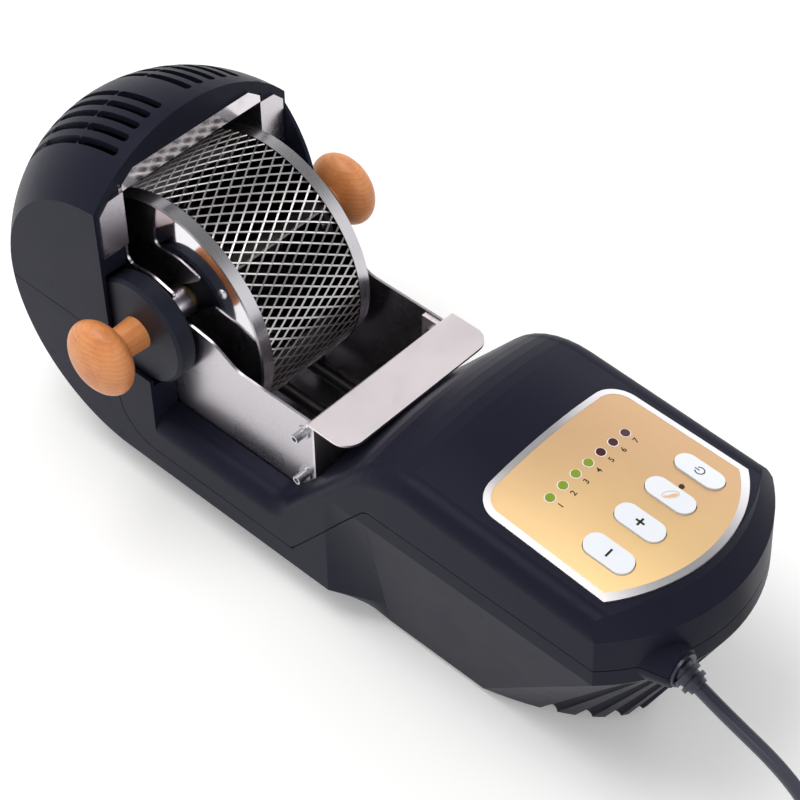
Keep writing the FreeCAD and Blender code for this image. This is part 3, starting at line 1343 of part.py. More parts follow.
# the cord's route from the relief's tip to the first turn of the coil, in the drum's frame
CORD_ROUTE = ((-32.0, -293.5, -14.75), (-32.0, -304.3, -19.1), (-30.2, -315.3, -26.0),
              (-27.5, -326.5, -34.4), (-24.6, -336.5, -45.0), (-22.6, -345.6, -56.6),
              (-21.4, -355.2, -68.8), (-20.6, -366.4, -80.0), (-20.1, -378.4, -88.9),
              (-19.7, -391.0, -93.6), (-19.5, -404.0, -94.5))
COIL_MIDDLE = (26.0, -404.0)
COIL_COLUMNS = 3
COIL_LAYERS = 2
INNER_TURN = 31.5               # radius of the innermost turn
PLUG_REAR = -374.0
PLUG_HALF_WIDTH = 15.5
PLUG_HALF_HEIGHT = 12.0
PIN_WIDTH = 6.3
PIN_THICKNESS = 1.6


def rounded_run(points):
    """A cord's path: straight runs joined by arcs as large as the runs allow."""
    radii = [0.0]
    for before, corner, after in zip(points, points[1:], points[2:]):
        turn = math.pi - (before - corner).getAngle(after - corner)
        run = min((before - corner).Length, (after - corner).Length)
        radii.append(0.45 * run / math.tan(turn / 2))
    radii.append(0.0)
    print("cord radii", [round(radius) for radius in radii[1:-1]])
    return Part.Wire(rounded_edges(points, radii, closed=False))


def tube(path, radius):
    """A round bar along a path of lines and tangent arcs."""
    ends = path.OrderedVertexes
    first = path.OrderedEdges[0]
    heading = first.tangentAt(first.FirstParameter)
    profile = Part.Wire(Part.makeCircle(radius, ends[0].Point, heading))
    return path.makePipeShell([profile], True, False)


def cord_relief():
    """Moulded relief in the boss on the parting line."""
    seat = -front_surface(s.gland_x)
    x, z = s.gland_x, -s.gland_drop
    forward = Vec(0, -1, 0)
    angle = math.radians(RELIEF_FALL)
    falling = Vec(0, -math.cos(angle), -math.sin(angle))
    mouth = Vec(x, seat - GLAND_BOSS_REACH, z)
    neck = Part.makeCylinder(GLAND_SEAT_RADIUS, BOSS_DEPTH + GLAND_BOSS_REACH + 2.0,
                             Vec(x, seat + BOSS_DEPTH + 2.0, z), forward)
    flange = Part.makeCylinder(GLAND_SEAT_RADIUS + 2.6, 2.4, Vec(x, seat + BOSS_DEPTH + 2.4, z), forward)
    collar_radius, collar_length = RELIEF_COLLAR
    collar = Part.makeCylinder(collar_radius, collar_length, mouth, forward)
    half_cord = s.cord_diameter / 2
    cone = Part.makeCone(half_cord + 1.6, half_cord + 0.6, RELIEF_LENGTH, mouth, falling)
    rings = [Part.makeCylinder(radius, 2.1, mouth + falling * start, falling)
             for start, radius in RELIEF_RINGS]
    return joined([neck, flange, collar, cone] + rings)


def plug_body(x, z):
    """Moulded plug lying on the bench: a round neck that widens to a flat-sided grip."""
    sections = []
    for ahead, half_w, half_h, corner in ((0, 5.4, 5.4, 5.3), (14, 7.5, 7.0, 6.0), (24, 13.0, 10.5, 6.5),
                                          (30, PLUG_HALF_WIDTH, PLUG_HALF_HEIGHT, 7.0),
                                          (44, PLUG_HALF_WIDTH, PLUG_HALF_HEIGHT, 7.0)):
        y = PLUG_REAR + ahead
        corners = [Vec(x - half_w, y, z - half_h), Vec(x + half_w, y, z - half_h),
                   Vec(x + half_w, y, z + half_h), Vec(x - half_w, y, z + half_h)]
        sections.append(Part.Wire(rounded_edges(corners, [corner] * 4)))
    return Part.makeLoft(sections, True, True)


def plug_pins(x, z):
    """Three flat pins: two slanted, and the longer earth pin below them."""
    face = PLUG_REAR + 44
    pins = []
    for across, up, lean, length in ((-7.9, 3.5, 30, 17.5), (7.9, 3.5, -30, 17.5), (0, -7.0, 0, 20.0)):
        pin = block(-PIN_THICKNESS / 2, PIN_THICKNESS / 2, 0, length, -PIN_WIDTH / 2, PIN_WIDTH / 2)
        pin.rotate(Vec(), Vec(0, 1, 0), lean)
        pin.translate(Vec(x + across, face, z + up))
        pins.append(pin)
    return Part.makeCompound(pins)


def make_supply():
    """Relief, the cord down to the bench, its coil, the loose end and the plug."""
    feature("cord_relief", cord_relief())
    half = s.cord_diameter / 2
    feature("power_cord", tube(rounded_run([Vec(*point) for point in CORD_ROUTE]), half))
    bench = -s.axis_height
    outer = INNER_TURN + (COIL_COLUMNS - 1) * s.cord_diameter
    height = COIL_LAYERS * s.cord_diameter
    at = Vec(*COIL_MIDDLE, bench)
    coil = Part.makeCylinder(outer + half, height, at)
    feature("cord_coil", coil.cut(Part.makeCylinder(INNER_TURN - half, height, at)))
    x, plug_z = COIL_MIDDLE[0] + outer, bench + PLUG_HALF_HEIGHT
    leaving = Vec(x, COIL_MIDDLE[1], bench + height - half)
    ending = Vec(x, PLUG_REAR, plug_z)
    run = ending - leaving
    end = Part.makeCylinder(half, run.Length + half, leaving, run)
    feature("cord_end", end.common(block(-BIG, BIG, -2 * BIG, PLUG_REAR, -BIG, BIG)))
    feature("plug_body", plug_body(x, plug_z))
    feature("plug_pins", plug_pins(x, plug_z))


# ---------------------------------------------------------------------------------------
# Build
# ---------------------------------------------------------------------------------------

hollow_form = make_housing()
make_chamber()
make_drum()
motor_form = make_drive()
make_motor_cradle(motor_form, hollow_form)
make_heater()
make_electronics(hollow_form)
make_controls()
make_supply()

doc.recompute()

for obj in doc.Objects:
    if {"Invalid", "Error"} & set(obj.State):
        raise RuntimeError(f"{obj.Label} failed: {obj.State}")
os.makedirs("parts", exist_ok=True)
for obj in parts:
    if obj.Shape.isNull() or not obj.Shape.isValid() or not obj.Shape.Solids:
        raise RuntimeError(f"{obj.Label} has no valid solid")
for obj in parts:
    obj.Shape.exportStep(f"parts/{obj.Label}.step")
print(len(parts), "sub-parts")
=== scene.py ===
"""Looks of a home coffee bean roaster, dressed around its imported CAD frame.

Every length is in metres in the frame's own axes: +X along the drum's axis, -Y towards the
control panel, +Z up. Each sub-assembly is a class that builds or dresses its pieces.
"""

from __future__ import annotations

import json
import logging
import math
from dataclasses import dataclass, field
from enum import Enum
from typing import Callable, Protocol, Sequence

import bmesh
import bpy
from mathutils import Matrix, Vector
from mathutils.bvhtree import BVHTree

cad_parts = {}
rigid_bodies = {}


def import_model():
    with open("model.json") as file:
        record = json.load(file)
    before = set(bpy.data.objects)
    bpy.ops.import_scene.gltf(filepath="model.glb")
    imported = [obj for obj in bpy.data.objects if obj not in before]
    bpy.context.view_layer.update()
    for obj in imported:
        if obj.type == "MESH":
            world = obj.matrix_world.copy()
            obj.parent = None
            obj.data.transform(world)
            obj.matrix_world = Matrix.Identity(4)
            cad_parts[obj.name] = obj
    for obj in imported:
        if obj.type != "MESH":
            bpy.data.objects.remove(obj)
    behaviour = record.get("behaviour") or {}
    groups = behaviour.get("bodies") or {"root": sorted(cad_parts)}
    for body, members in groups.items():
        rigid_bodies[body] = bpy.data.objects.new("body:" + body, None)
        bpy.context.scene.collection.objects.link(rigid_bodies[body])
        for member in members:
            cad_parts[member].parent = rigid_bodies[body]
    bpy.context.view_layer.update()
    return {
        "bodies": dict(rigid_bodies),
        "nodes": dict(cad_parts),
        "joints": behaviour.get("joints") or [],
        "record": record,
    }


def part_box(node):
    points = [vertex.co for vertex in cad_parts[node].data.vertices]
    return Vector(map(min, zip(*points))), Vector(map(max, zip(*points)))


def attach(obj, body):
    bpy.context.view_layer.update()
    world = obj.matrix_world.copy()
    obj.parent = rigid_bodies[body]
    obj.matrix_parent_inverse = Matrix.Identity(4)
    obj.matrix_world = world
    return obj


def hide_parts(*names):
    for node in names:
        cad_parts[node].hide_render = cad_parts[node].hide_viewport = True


LOG = logging.getLogger("roaster")
MM = 0.001
Colour = tuple[float, float, float]
Socket = bpy.types.NodeSocket
Point = tuple[float, float, float]
Stroke = list[tuple[float, float]]
OFF_AXIS = (0.0, 1.0, 1.0)  # what is left of a vector across the drum's axis
FLOAT, VECTOR = "NodeSocketFloat", "NodeSocketVector"


class Side(Enum):
    """The two ends of the drum's axis."""

    LEFT = -1
    RIGHT = 1

    @property
    def word(self) -> str:
        """The side's name as the nodes spell it."""
        return self.name.lower()


class Axis(Enum):
    """A direction that a finish is drawn along."""

    X = 0
    Y = 1
    Z = 2


class Mark(Enum):
    """What is printed on a button's cap."""

    MINUS = "minus"
    PLUS = "plus"
    BEAN = "roast"
    POWER = "power"


# --- Shader graphs ---


class Graph:
    """A node tree that is being wired."""

    def __init__(self, tree: bpy.types.NodeTree) -> None:
        """Keeps the tree that nodes are added to."""
        self.tree = tree

    def add(self, kind: str, inputs: dict | None = None, **settings: object) -> bpy.types.Node:
        """Adds one node.

        Args:
            kind: Blender's name of the node type.
            inputs: values or sockets for its inputs, by name or number.
            settings: properties of the node itself.

        Returns:
            The new node.
        """
        node = self.tree.nodes.new(kind)
        for key, value in settings.items():
            setattr(node, key, value)
        for key, value in (inputs or {}).items():
            self.feed(node.inputs[key], value)
        return node

    def feed(self, socket: Socket, value: object) -> None:
        """Links a socket to an input, or sets the input's own value.

        Args:
            socket: the input.
            value: a socket, a node whose first output is meant, or a plain value.
        """
        if isinstance(value, bpy.types.Node):
            value = value.outputs[0]
        if isinstance(value, bpy.types.NodeSocket):
            self.tree.links.new(value, socket)
        else:
            socket.default_value = value

    def math(self, operation: str, *values: object) -> Socket:
        """The result of one Math node, fed with up to three sockets or numbers."""
        return self.add("ShaderNodeMath", dict(enumerate(values)), operation=operation).outputs[0]

    def ramp(self, value: Socket, low: float, high: float, to_low: float = 0.0,
             to_high: float = 1.0) -> Socket:
        """A smooth change from one result to another as a value goes from low to high."""
        names = {"Value": value, "From Min": low, "From Max": high, "To Min": to_low, "To Max": to_high}
        return self.add("ShaderNodeMapRange", names, interpolation_type="SMOOTHSTEP").outputs[0]

    def blend(self, share: object, first: object, second: object, how: str = "MIX") -> Socket:
        """Mixes two colours.

        Args:
            share: how much of the second one shows.
            first: the first colour.
            second: the second colour.
            how: Blender's blend type.

        Returns:
            The mixed colour.
        """
        node = self.add("ShaderNodeMix", data_type="RGBA", blend_type=how)
        self.feed(node.inputs[0], share)
        for number, value in ((6, first), (7, second)):
            self.feed(node.inputs[number], rgba(value) if isinstance(value, tuple) else value)
        return node.outputs[2]

    def vector(self, operation: str, first: object, second: object = (0.0, 0.0, 0.0)) -> Socket:
        """One Vector Math node's result, a number for a length or a dot product."""
        node = self.add("ShaderNodeVectorMath", {0: first, 1: second}, operation=operation)
        return node.outputs["Value" if operation in ("LENGTH", "DOT_PRODUCT") else "Vector"]

    def combine(self, **parts: object) -> Socket:
        """A vector from its X, Y and Z, nought where one isn't given."""
        return self.add("ShaderNodeCombineXYZ", parts).outputs[0]

    def part(self, whole: object, axis: Axis) -> Socket:
        """One component of a vector."""
        return self.add("ShaderNodeSeparateXYZ", {0: whole}).outputs[axis.name]

    def noise(self, where: object, scale: object, detail: float, roughness: float = 0.5) -> bpy.types.Node:
        """A noise texture, whose first output is its value."""
        return self.add("ShaderNodeTexNoise", {"Vector": where, "Scale": scale, "Detail": detail,
                                               "Roughness": roughness})

    def between(self, share: object, first: object, second: object) -> Socket:
        """A number that goes from the first to the second as the share goes from nought to one."""
        return self.add("ShaderNodeMix", {0: share, 2: first, 3: second}).outputs[0]


def rgba(colour: Sequence[float]) -> tuple[float, float, float, float]:
    """A colour with full alpha."""
    return (*colour[:3], 1.0)


def node_group(name: str, inputs: Sequence[tuple[str, str, object]], outputs: Sequence[tuple[str, str]],
               wire: Callable[[Graph, dict[str, Socket]], dict[str, Socket]]) -> bpy.types.NodeTree:
    """Makes a shader node group with named sockets.

    Args:
        name: the group's name.
        inputs: name, socket type and default value of each input.
        outputs: name and socket type of each output.
        wire: makes the inside, and returns the socket for each output's name.

    Returns:
        The group's tree.
    """
    tree = bpy.data.node_groups.new(name, "ShaderNodeTree")
    for label, kind, value in inputs:
        socket = tree.interface.new_socket(label, in_out="INPUT", socket_type=kind)
        if value is not None:
            socket.default_value = value
    for label, kind in outputs:
        tree.interface.new_socket(label, in_out="OUTPUT", socket_type=kind)
    graph = Graph(tree)
    entry = tree.nodes.new("NodeGroupInput")
    results = wire(graph, {label: entry.outputs[label] for label, _, _ in inputs})
    exit_node = tree.nodes.new("NodeGroupOutput")
    for label, socket in results.items():
        tree.links.new(socket, exit_node.inputs[label])
    return tree


class Groups:
    """The node groups that several finishes share."""

    def __init__(self) -> None:
        """Builds each group once."""
        self.grain = node_group(
            "Moulded grain",
            [("Position", VECTOR, None), ("Scale", FLOAT, 1600.0), ("Soft Scale", FLOAT, 60.0),
             ("Unevenness", FLOAT, 0.3)],
            [("Height", FLOAT), ("Mottle", FLOAT)], self._grain)
        self.brushed = node_group(
            "Brushed lines",
            [("Position", VECTOR, None), ("Stretch", VECTOR, (1.0, 1.0, 1.0)), ("Scale", FLOAT, 4000.0),
             ("Smudge Scale", FLOAT, 35.0)],
            [("Lines", FLOAT), ("Smudge", FLOAT)], self._brushed)
        self.wear = node_group(
            "Handling wear",
            [("Position", VECTOR, None), ("Scale", FLOAT, 90.0), ("Amount", FLOAT, 0.3)],
            [("Scuff", FLOAT), ("Dust", FLOAT)], self._wear)
        self.timber = node_group(
            "Turned timber",
            [("Position", VECTOR, None), ("Ring Scale", FLOAT, 140.0), ("Pore Scale", FLOAT, 2400.0),
             ("Waviness", FLOAT, 0.004)],
            [("Rings", FLOAT), ("Pores", FLOAT), ("Figure", FLOAT)], self._timber)

    @staticmethod
    def _grain(graph: Graph, given: dict[str, Socket]) -> dict[str, Socket]:
        """Fine spark-eroded texture with a slow mottle.

        Args:
            graph: the group's inside.
            given: its input sockets.

        Returns:
            Its output sockets by name.
        """
        fine = graph.noise(given["Position"], given["Scale"], 2.0)
        slow = graph.noise(given["Position"], given["Soft Scale"], 4.0, 0.6)
        swing = graph.math("SUBTRACT", slow, 0.5)
        mottle = graph.math("MULTIPLY_ADD", swing, given["Unevenness"], 0.5)
        return {"Height": fine.outputs[0], "Mottle": mottle}

    @staticmethod
    def _brushed(graph: Graph, given: dict[str, Socket]) -> dict[str, Socket]:
        """Long fine lines, with the smudges of handled metal.

        Args:
            graph: the group's inside.
            given: its input sockets.

        Returns:
            Its output sockets by name.
        """
        stretched = graph.vector("MULTIPLY", given["Position"], given["Stretch"])
        lines = graph.noise(stretched, given["Scale"], 3.0, 0.65)
        smudge = graph.noise(given["Position"], given["Smudge Scale"], 5.0, 0.55)
        return {"Lines": lines.outputs[0], "Smudge": smudge.outputs[0]}

    @staticmethod
    def _wear(graph: Graph, given: dict[str, Socket]) -> dict[str, Socket]:
        """Sparse scuffs and specks of dust.

        Args:
            graph: the group's inside.
            given: its input sockets.

        Returns:
            Its output sockets by name.
        """
        cloud = graph.noise(given["Position"], given["Scale"], 8.0, 0.7)
        scuff = graph.math("MULTIPLY", graph.ramp(cloud, 0.58, 0.75), given["Amount"])
        specks = graph.add("ShaderNodeTexVoronoi", {"Vector": given["Position"],
                                                    "Scale": graph.math("MULTIPLY", given["Scale"], 3.0)})
        dust = graph.math("MULTIPLY", graph.ramp(specks.outputs["Distance"], 0.05, 0.02), given["Amount"])
        return {"Scuff": scuff, "Dust": dust}

    @staticmethod
    def _timber(graph: Graph, given: dict[str, Socket]) -> dict[str, Socket]:
        """Growth rings and short pores of a close-grained wood, lying across the knob's axis.

        Args:
            graph: the group's inside.
            given: its input sockets.

        Returns:
            Its output sockets by name.
        """
        drift = graph.noise(given["Position"], 40.0, 3.0)
        centred = graph.vector("SUBTRACT", drift.outputs[1], (0.5, 0.5, 0.5))
        bent = graph.add("ShaderNodeVectorMath", {0: centred, "Scale": given["Waviness"]}, operation="SCALE")
        moved = graph.vector("ADD", given["Position"], bent)
        rings = graph.add("ShaderNodeTexWave", {"Vector": moved, "Scale": given["Ring Scale"],
                                                "Distortion": 2.5, "Detail": 3.0, "Detail Scale": 1.5},
                          wave_type="BANDS", bands_direction="Z", wave_profile="SAW")
        along_grain = graph.vector("MULTIPLY", moved, (1.0, 0.13, 1.0))
        pores = graph.noise(along_grain, given["Pore Scale"], 2.0, 0.7)
        figure = graph.noise(given["Position"], 75.0, 4.0)
        return {"Rings": rings.outputs[0], "Pores": pores.outputs[0], "Figure": figure.outputs[0]}


# --- Finishes ---


def fresh_material(name: str) -> tuple[bpy.types.Material, Graph, bpy.types.Node]:
    """A material with only a Principled shader in it.

    Args:
        name: the material's name.

    Returns:
        The material, its graph and the shader.
    """
    material = bpy.data.materials.new(name)
    material.use_nodes = True
    graph = Graph(material.node_tree)
    return material, graph, material.node_tree.nodes["Principled BSDF"]


def place(graph: Graph) -> Socket:
    """The point being shaded, in the frame's own axes."""
    return graph.add("ShaderNodeTexCoord").outputs["Object"]


def facing(graph: Graph) -> Socket:
    """The direction that the surface faces."""
    return graph.add("ShaderNodeNewGeometry").outputs["Normal"]


def use(graph: Graph, tree: bpy.types.NodeTree, inputs: dict[str, object]) -> bpy.types.Node:
    """Puts a node group into a material.

    Args:
        graph: the material's graph.
        tree: the group.
        inputs: values or sockets for its inputs.

    Returns:
        The group's node.
    """
    node = graph.tree.nodes.new("ShaderNodeGroup")
    node.node_tree = tree
    for label, value in inputs.items():
        graph.feed(node.inputs[label], value)
    return node


def raise_surface(graph: Graph, shader: bpy.types.Node, height: Socket, depth: float,
                  strength: float = 1.0) -> None:
    """Feeds a bump of a depth in metres into the shader's normal."""
    bump = graph.add("ShaderNodeBump", {"Strength": strength, "Distance": depth, "Height": height})
    graph.feed(shader.inputs["Normal"], bump)


def settle(shader: bpy.types.Node, values: dict[str, float | tuple[float, ...]]) -> None:
    """Sets constants on a shader's own sockets.

    Args:
        shader: the shader's node.
        values: the constants, by the sockets' names.
    """
    for name, value in values.items():
        shader.inputs[name].default_value = value


class Finish(Protocol):
    """What a surface is made of and how it is worked."""

    def build(self, groups: Groups) -> bpy.types.Material:
        """Makes the material from the shared node groups."""


@dataclass(frozen=True)
class Moulded:
    """Injection-moulded plastic or rubber with a fine texture."""

    name: str
    colour: Colour
    roughness: float = 0.45
    spread: float = 0.06
    grain_scale: float = 1600.0
    depth: float = 2.0e-5
    wear: float = 0.15
    specular: float = 0.5
    coat: float = 0.0
    sheen_of_gloss: Colour = (1.0, 1.0, 1.0)
    coat_roughness: float = 0.12
    mottle_gain: float = 1.35
    mottle_lift: float = 0.004
    dust_lift: float = 0.25

    def build(self, groups: Groups) -> bpy.types.Material:
        """Makes the material.

        Args:
            groups: the shared node groups.

        Returns:
            The finished material.
        """
        material, graph, shader = fresh_material(self.name)
        where = place(graph)
        grain = use(graph, groups.grain, {"Position": where, "Scale": self.grain_scale})
        wear = use(graph, groups.wear, {"Position": where, "Amount": self.wear})
        lighter = tuple(min(1.0, c * self.mottle_gain + self.mottle_lift) for c in self.colour)
        base = graph.blend(grain.outputs["Mottle"], self.colour, lighter)
        dust = tuple(min(1.0, c + self.dust_lift) for c in self.colour)
        graph.feed(shader.inputs["Base Color"], graph.blend(wear.outputs["Dust"], base, dust))
        rough = graph.ramp(grain.outputs["Mottle"], 0.3, 0.7, self.roughness - self.spread,
                           self.roughness + self.spread)
        graph.feed(shader.inputs["Roughness"], graph.math("ADD", rough, wear.outputs["Scuff"]))
        settle(shader, {"Specular IOR Level": self.specular, "Specular Tint": rgba(self.sheen_of_gloss),
                        "Coat Weight": self.coat, "Coat Roughness": self.coat_roughness})
        raise_surface(graph, shader, grain.outputs["Height"], self.depth)
        return material


@dataclass(frozen=True)
class Metal:
    """Sheet or turned metal, brushed along one axis."""

    name: str
    colour: Colour
    roughness: float = 0.25
    along: Axis = Axis.X
    length: float = 0.02
    line_scale: float = 5000.0
    contrast: float = 0.12
    smudge: float = 0.08
    depth: float = 4.0e-6
    warm_to: Colour | None = None

    def build(self, groups: Groups) -> bpy.types.Material:
        """Makes the material.

        Args:
            groups: the shared node groups.

        Returns:
            The finished material.
        """
        material, graph, shader = fresh_material(self.name)
        stretch = [1.0, 1.0, 1.0]
        stretch[self.along.value] = self.length
        lines = use(graph, groups.brushed, {"Position": place(graph), "Stretch": tuple(stretch),
                                            "Scale": self.line_scale})
        darker = self.warm_to or tuple(c * (1.0 - self.contrast) for c in self.colour)
        graph.feed(shader.inputs["Base Color"], graph.blend(lines.outputs["Lines"], self.colour, darker))
        low, high = max(0.02, self.roughness - self.smudge), self.roughness + self.smudge
        rough = graph.ramp(lines.outputs["Smudge"], 0.35, 0.65, low, high)
        fine = graph.math("MULTIPLY_ADD", lines.outputs["Lines"], self.contrast, rough)
        graph.feed(shader.inputs["Roughness"], fine)
        shader.inputs["Metallic"].default_value = 1.0
        raise_surface(graph, shader, lines.outputs["Lines"], self.depth)
        return material


@dataclass(frozen=True)
class TurnedRing:
    """Metal turned on a lathe: polished up to a radius, ringed beyond it, with painted shade on the faces
    that turn in towards the drum's middle.
    """

    name: str
    colour: Colour
    centre: Point
    polished_to: float
    rim: Colour = (0.68, 0.665, 0.70)
    # painted shade for the faces inside the drum
    browned: Colour = (0.075, 0.062, 0.052)
    inner_roughness: float = 0.05
    outer_roughness: float = 0.27
    ring_scale: float = 3600.0
    edge: float = 0.3 * MM
    depth: float = 6.0e-6

    def build(self, groups: Groups) -> bpy.types.Material:
        """Makes the material.

        Args:
            groups: the shared node groups.

        Returns:
            The finished material.
        """
        material, graph, shader = fresh_material(self.name)
        where = place(graph)
        centred = graph.vector("SUBTRACT", where, self.centre)
        radius = graph.vector("LENGTH", graph.vector("MULTIPLY", centred, OFF_AXIS))
        turned = graph.combine(X=graph.part(where, Axis.X), Y=radius)
        rings = graph.noise(turned, self.ring_scale, 3.0, 0.7)
        outer = graph.ramp(radius, self.polished_to - self.edge, self.polished_to + self.edge)
        smudges = use(graph, groups.brushed, {"Position": where})
        inner = graph.ramp(smudges.outputs["Smudge"], 0.3, 0.8, self.inner_roughness,
                           self.inner_roughness + 0.06)
        ringed = graph.math("MULTIPLY_ADD", rings, 0.16, self.outer_roughness - 0.08)
        graph.feed(shader.inputs["Roughness"], graph.between(outer, inner, ringed))
        ringed_rim = graph.blend(rings.outputs[0], self.rim, tuple(c * 0.85 for c in self.rim))
        ringed_colour = graph.blend(outer, self.colour, ringed_rim)
        # Painted shade: faces turned in towards the drum's middle take the dark colour.
        side = graph.math("SIGN", graph.part(centred, Axis.X))
        outward = graph.math("MULTIPLY", side, graph.part(facing(graph), Axis.X))
        graph.feed(shader.inputs["Base Color"], graph.blend(
            graph.ramp(outward, -0.5, -0.2), self.browned, ringed_colour))
        shader.inputs["Metallic"].default_value = 1.0
        raise_surface(graph, shader, graph.math("MULTIPLY", rings, outer), self.depth)
        return material


@dataclass(frozen=True)
class BrownedSteel:
    """Steel that is bright outside, with painted shade on the side that faces the drum's axis."""

    name: str
    axis: Point
    bright: Colour = (0.56, 0.545, 0.555)
    # painted shade for the faces turned towards the drum's axis
    browned: Colour = (0.060, 0.050, 0.043)
    roughness: float = 0.27
    stain: Colour = (0.42, 0.38, 0.34)
    brown_to: float = -0.25
    bright_from: float = 0.35

    def build(self, groups: Groups) -> bpy.types.Material:
        """Makes the material.

        Args:
            groups: the shared node groups.

        Returns:
            The finished material.
        """
        material, graph, shader = fresh_material(self.name)
        where = place(graph)
        centred = graph.vector("SUBTRACT", where, self.axis)
        unit = graph.vector("NORMALIZE", graph.vector("MULTIPLY", centred, OFF_AXIS))
        outward = graph.vector("DOT_PRODUCT", unit, facing(graph))
        # Painted shade: faces turned in towards the drum's axis take the dark colour.
        outside = graph.ramp(outward, self.brown_to, self.bright_from)
        lines = use(graph, groups.brushed, {"Position": where, "Stretch": (0.3, 1.0, 1.0), "Scale": 1500.0,
                                            "Smudge Scale": 60.0})
        stained = graph.blend(graph.ramp(lines.outputs["Smudge"], 0.45, 0.75, 0.0, 0.35), self.bright,
                              self.stain)
        graph.feed(shader.inputs["Base Color"], graph.blend(outside, self.browned, stained))
        graph.feed(shader.inputs["Roughness"], graph.math(
            "MULTIPLY_ADD", lines.outputs["Lines"], 0.18, self.roughness - 0.05))
        shader.inputs["Metallic"].default_value = 1.0
        raise_surface(graph, shader, lines.outputs["Lines"], 4.0e-6)
        return material


@dataclass(frozen=True)
class Timber:
    """Oiled close-grained wood turned on a lathe."""

    name: str
    pale: Colour = (0.84, 0.335, 0.115)
    deep: Colour = (0.56, 0.165, 0.042)
    pore: Colour = (0.26, 0.070, 0.020)
    roughness: float = 0.40

    def build(self, groups: Groups) -> bpy.types.Material:
        """Makes the material.

        Args:
            groups: the shared node groups.

        Returns:
            The finished material.
        """
        material, graph, shader = fresh_material(self.name)
        wood = use(graph, groups.timber, {"Position": place(graph)})
        share = graph.math("MULTIPLY_ADD", wood.outputs["Rings"], 0.30,
                           graph.ramp(wood.outputs["Figure"], 0.3, 0.75, 0.0, 0.6))
        body = graph.blend(share, self.pale, self.deep)
        speckled = graph.blend(graph.ramp(wood.outputs["Pores"], 0.58, 0.72, 0.0, 0.5), body, self.pore)
        graph.feed(shader.inputs["Base Color"], speckled)
        graph.feed(shader.inputs["Roughness"], graph.ramp(
            wood.outputs["Pores"], 0.35, 0.7, self.roughness - 0.05, self.roughness + 0.15))
        settle(shader, {"Coat Weight": 0.12, "Coat Roughness": 0.3})
        raise_surface(graph, shader, wood.outputs["Pores"], 1.6e-5, 0.5)
        return material


@dataclass(frozen=True)
class Foil:
    """The panel's satin gold foil, with painted light and shade: lighter and yellower towards its front left
    corner, darker away from it.
    """

    name: str
    front_corner: Point
    reach: float = 0.120
    weights: Point = (1.15, 0.75, 1.0)
    # colour is the painted light at the lit front left corner; deep is the painted shade further from it
    colour: Colour = (1.0, 0.70, 0.34)
    deep: Colour = (0.64, 0.405, 0.225)
    roughness: float = 0.42

    def build(self, groups: Groups) -> bpy.types.Material:
        """Makes the material.

        Args:
            groups: the shared node groups.

        Returns:
            The finished material.
        """
        material, graph, shader = fresh_material(self.name)
        where = place(graph)
        lines = use(graph, groups.brushed, {"Position": where, "Stretch": (0.05, 1.0, 1.0), "Scale": 6500.0,
                                            "Smudge Scale": 22.0})
        # Painted light and shade: the foil darkens with distance from its lit front left corner, with a
        # slight smudge in the distance.
        offset = graph.vector("SUBTRACT", where, self.front_corner)
        away = graph.vector("LENGTH", graph.vector("MULTIPLY", offset, self.weights))
        drift = graph.math("MULTIPLY_ADD", lines.outputs["Smudge"], 0.03, away)
        body = graph.blend(graph.ramp(drift, 0.015, self.reach), self.colour, self.deep)
        graph.feed(shader.inputs["Base Color"], body)
        graph.feed(shader.inputs["Roughness"], graph.math(
            "MULTIPLY_ADD", lines.outputs["Lines"], 0.12, self.roughness - 0.06))
        settle(shader, {"Metallic": 0.35, "Specular IOR Level": 0.25})
        raise_surface(graph, shader, lines.outputs["Lines"], 1.5e-6)
        return material


@dataclass(frozen=True)
class Lens:
    """A lamp's coloured window, lit softly from behind when it glows."""

    name: str
    colour: Colour
    glow: float = 0.0
    centre_light: float = 1.4

    def build(self, groups: Groups) -> bpy.types.Material:
        """Makes the material.

        Args:
            groups: the shared node groups.

        Returns:
            The finished material.
        """
        material, graph, shader = fresh_material(self.name)
        wear = use(graph, groups.wear, {"Position": place(graph), "Amount": 0.1})
        bright = tuple(min(1.0, c * self.centre_light) for c in self.colour)
        grain = use(graph, groups.grain, {"Position": place(graph), "Scale": 900.0, "Soft Scale": 500.0,
                                          "Unevenness": 1.0})
        body = graph.blend(grain.outputs["Mottle"], self.colour, bright)
        graph.feed(shader.inputs["Base Color"], body)
        graph.feed(shader.inputs["Roughness"], graph.math("ADD", wear.outputs["Scuff"], 0.28))
        settle(shader, {"Specular IOR Level": 0.25, "Coat Weight": 0.1, "Coat Roughness": 0.1})
        if self.glow > 0:
            graph.feed(shader.inputs["Emission Color"], body)
            shader.inputs["Emission Strength"].default_value = self.glow
        return material


